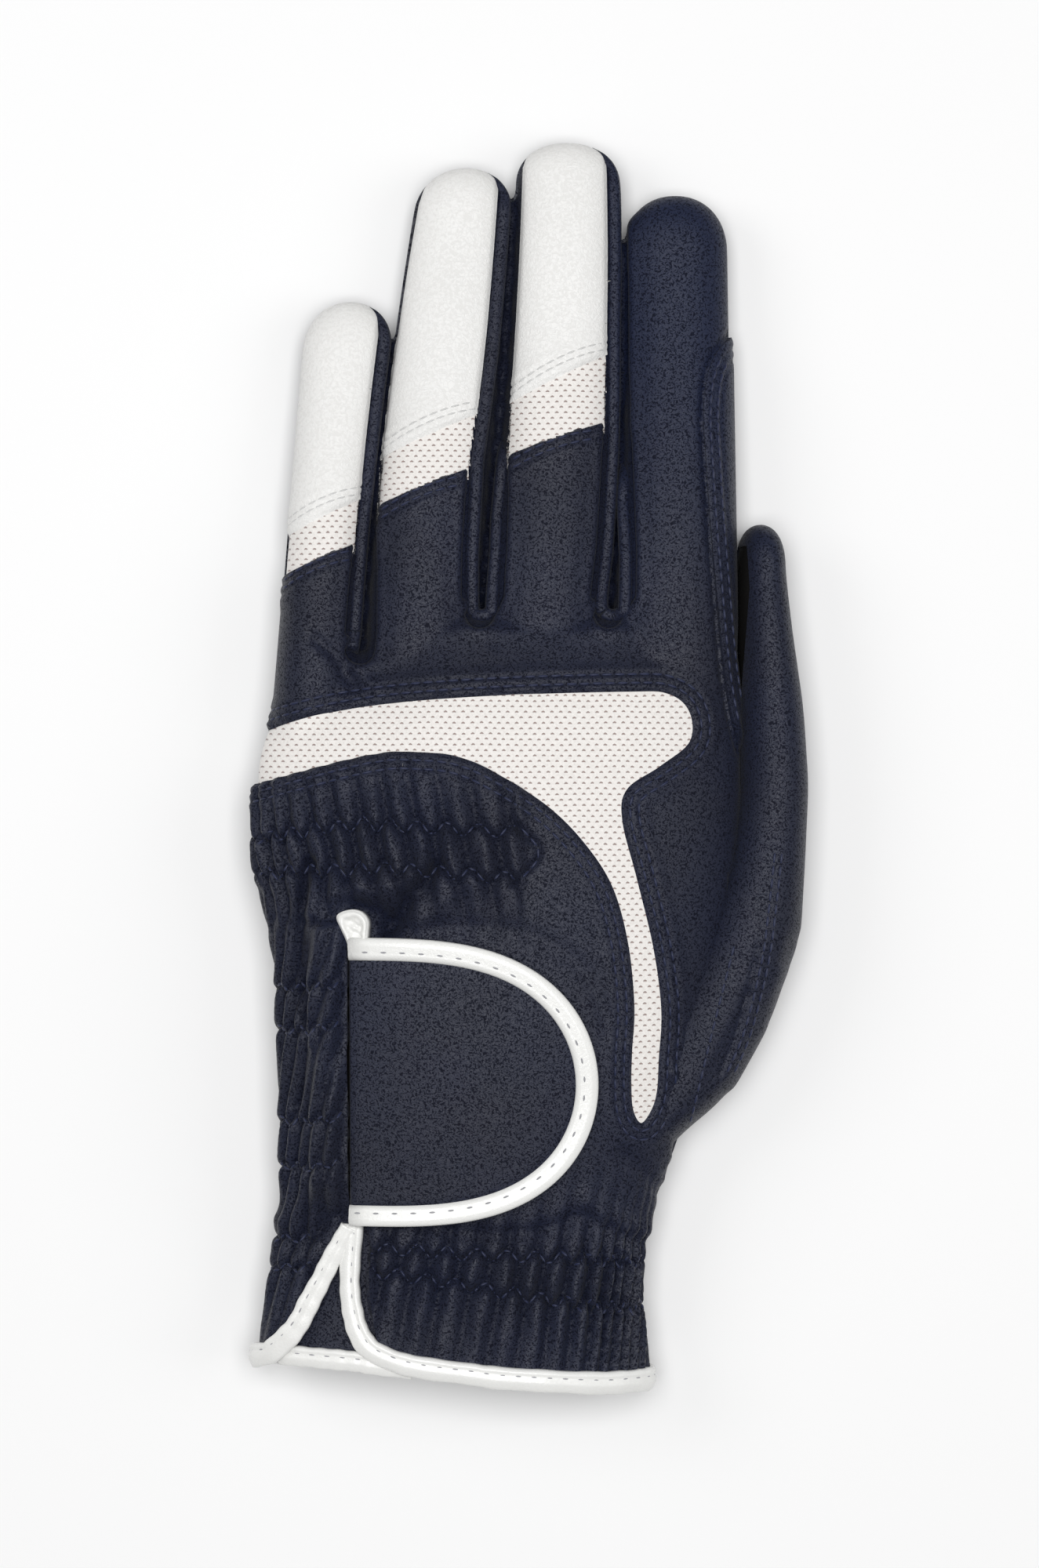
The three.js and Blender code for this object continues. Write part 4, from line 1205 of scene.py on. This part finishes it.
left_width[-5:] *= (0.97, 0.9, 0.78, 0.58, 0.3)
left_edge, left_row = tape("slit_left_edge", left_theta[::-1], left_along[::-1], 0.9, left_width[::-1])
shown(hem_edge, white_binding, "hem_binding")
shown(left_edge, white_binding, "slit_left_binding")


# The underlap: a navy leather tongue behind the slit, seen where its edges part. It is sewn in above
# the fork, and its own hem is bound with a narrow white tape.
def under_sheet(name, low, high, depth, thickness):
    x = np.linspace(-45.5, -17, 60)
    y = np.linspace(low, high, 50)
    grid = []
    for level in y:
        theta = theta_at(x, np.full(len(x), level))
        grid.append(hand_point(theta, np.full(len(x), level), -depth)[0])
    sheet = added(bpy.ops.mesh.primitive_grid_add, x_subdivisions=59, y_subdivisions=49, size=1)
    sheet.name = name
    set_coordinates(sheet, placed(np.array(grid)).reshape(-1, 3))
    return creased(apply(sheet, "SOLIDIFY", thickness=thickness * mm, offset=-1))


underlap = under_sheet("underlap_leather", 3.4, 34, 1.4, leather)
under_path = curve(worn([(-43.0, 6.5), (-38.0, 6.3), (-32.6, 6.0), (-28.1, 5.7), (-24.6, 5.2),
                         (-17.5, 4.4)]), 10)
under_edge, under_row = tape("underlap_edge", theta_at(*under_path.T), under_path[:, 1], -1.0, 4.1, 2.2)
sewn("binding_threads", [hem_row, left_row, under_row], binding_stitch, stitch_hole_shade)
shown(underlap, navy_leather, "underlap")
shown(under_edge, white_binding, "underlap_binding")


# The closing tab: a round-ended navy leather flap with hook tape under it, bound in glossy white all
# round but at its root, which comes out of the slit from under the leather fold.
tab_root = -27.9
tab_length = 44.3
tab_width = 53.4
tab_low = 31.5
tab_fullness = 3.2
tab_lift = 3.2
tab_edge_width = 4.2
tab_edge_height = 2.3
tab_stitch_inset = 1.55
tab_stitch = (1.1, 3.45, 0.17)


def tab_outline(inset, count=140):
    middle, half = tab_low + tab_width / 2, tab_width / 2 - inset
    angle = np.linspace(-np.pi / 2, np.pi / 2, count)
    along = np.clip(np.cos(angle), 0, 1) ** (2 / tab_fullness)
    return np.stack([tab_root + (tab_length - inset) * along, middle + half * np.sin(angle)], axis=1)


def tab_point(x, y, lift):
    return hand_point(theta_at(x, y), y, lift)


inner = tab_outline(tab_edge_width - 1)
middle = np.array([tab_root + 0.4 * tab_length, tab_low + tab_width / 2])
rings = []
for share in np.linspace(1, 0.02, 46):
    x, y = (middle + share * (inner - middle)).T
    dome = 0.25 * (1 - share**2)
    rings.append(tab_point(x, y, tab_lift + dome - 0.35 * bump((1 - share) * 20, 0.8))[0])
tab = smoothed(tube("tab_leather", placed(rings)))

path, out = tab_point(*tab_outline(tab_edge_width / 2).T, tab_lift - 0.2)
across, up = sides_of(path, out)
profile = oval(tab_edge_width, tab_edge_height, 30, 3.0)
groove = 0.3 * bump(profile[:, 0] + tab_edge_width / 2 - tab_stitch_inset, 0.4)
profile[:, 1] -= (profile[:, 1] > 0) * (groove + 0.35 * smooth(-profile[:, 0], 0.2, 1.9))
tab_edge = swept("tab_edge", path, across, up, profile)
tab_row = path - across * (tab_edge_width / 2 - tab_stitch_inset) + up * (tab_edge_height / 2 - 0.25)
# The tab's stitches take the same grey, painted needle-hole shade.
sewn("tab_threads", [placed(tab_row)], tab_stitch, stitch_hole_shade)
shown(tab, navy_leather, "tab")
shown(tab_edge, white_binding, "tab_binding")
dressed(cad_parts["hook_pad"], thread_finish("hook_tape", (0.015, 0.018, 0.03, 1)))


# The slit's top end: the white binding of both edges is turned back on itself into a small
# crumpled loop, which stands over the tab's root.
loop_outline = curve([(-27.8, 82.6), (-28.5, 84.6), (-29.4, 86.6), (-30.1, 88.4), (-29.5, 89.4),
                      (-27.5, 90.0), (-25.7, 89.5), (-24.6, 88.0), (-24.6, 86.0), (-24.7, 84.6),
                      (-24.7, 82.6)], 6)
loop_middle = np.array([-27.0, 86.6])
loop_lift = 3.6
rings = []
for share, rise in zip(np.linspace(1, 0.05, 22), np.linspace(0, 1, 22)):
    flat = loop_middle + share * (loop_outline - loop_middle)
    crumple = 0.35 * np.sin(2.3 * flat[:, 0] + 1.1 * flat[:, 1]) * np.cos(2.9 * flat[:, 1])
    height = loop_lift - 0.5 * (1 - smooth(rise, 0, 0.2)) - 0.7 * smooth(rise, 0.3, 0.6)
    height = height + crumple * smooth(rise, 0.25, 0.6)
    rings.append(tab_point(*flat.T, height[:, None])[0])
skirt = tab_point(*loop_outline.T, 0.2)[0]
loop = smoothed(tube("slit_loop_tape", placed([skirt] + rings)))
shown(loop, white_binding, "slit_loop")


# The lining: a thin dark cloth inside the hand, loose of the leather. It is seen only through the
# wrist, and stops short of the hem and of the fingers.
lining_low = 6.5
lining_high = 118
lining_depth = 4.2
lining_thickness = 0.4
lining = cut(copied(form, "lining"), cutter(band(lining_low, lining_high)), "INTERSECT")
raised(open_skin(lining), sunk(lining_depth))
apply(lining, "DECIMATE", ratio=0.2)
smoothed(apply(lining, "SOLIDIFY", thickness=lining_thickness * mm, offset=-1))
shown(lining, dark_knit)
for spare in (form, upper_half):
    bpy.data.objects.remove(spare)


# Floor, light and camera: a white table under a broad soft light from above and two weak ones from
# the sides, seen square on from above.
floor = added(bpy.ops.mesh.primitive_plane_add, size=6, location=(0, 0, 0))
floor.name = "floor"
paper, tree, shader, _ = new_finish("paper")
feed(tree, shader, Base_Color=(0.95, 0.95, 0.95, 1), Roughness=0.9)
dressed(floor, paper)

world = bpy.data.worlds.new("studio")
bpy.context.scene.world = world
world.use_nodes = True
feed(world.node_tree, world.node_tree.nodes["Background"], Color=(1, 1, 1, 1), Strength=0.12)

for name, place, size, power in (
    ("overhead", (0.0, 0.05, 1.3), 0.8, 13.9),
    ("left", (-0.7, 0.25, 0.65), 0.5, 1.6),
    ("right", (0.7, 0.0, 0.6), 0.5, 1.1),
):
    bpy.ops.object.light_add(type="AREA", location=place)
    lamp = bpy.context.object
    lamp.name = name
    lamp.data.size = size
    lamp.data.energy = power
    lamp.rotation_euler = (Vector((0, 0, 0)) - Vector(place)).to_track_quat("-Z", "Y").to_euler()

frame_height = 0.29
focal_length = 100
sensor = 36
mid_height = 0.013
camera_place = (-0.0022, -0.00295, frame_height * focal_length / sensor + mid_height)
bpy.ops.object.camera_add(location=camera_place)
camera = bpy.context.object
camera.data.lens = focal_length
camera.data.sensor_width = sensor
camera.data.clip_start = 0.01
bpy.context.scene.camera = camera
bpy.context.scene.view_settings.view_transform = "Standard"
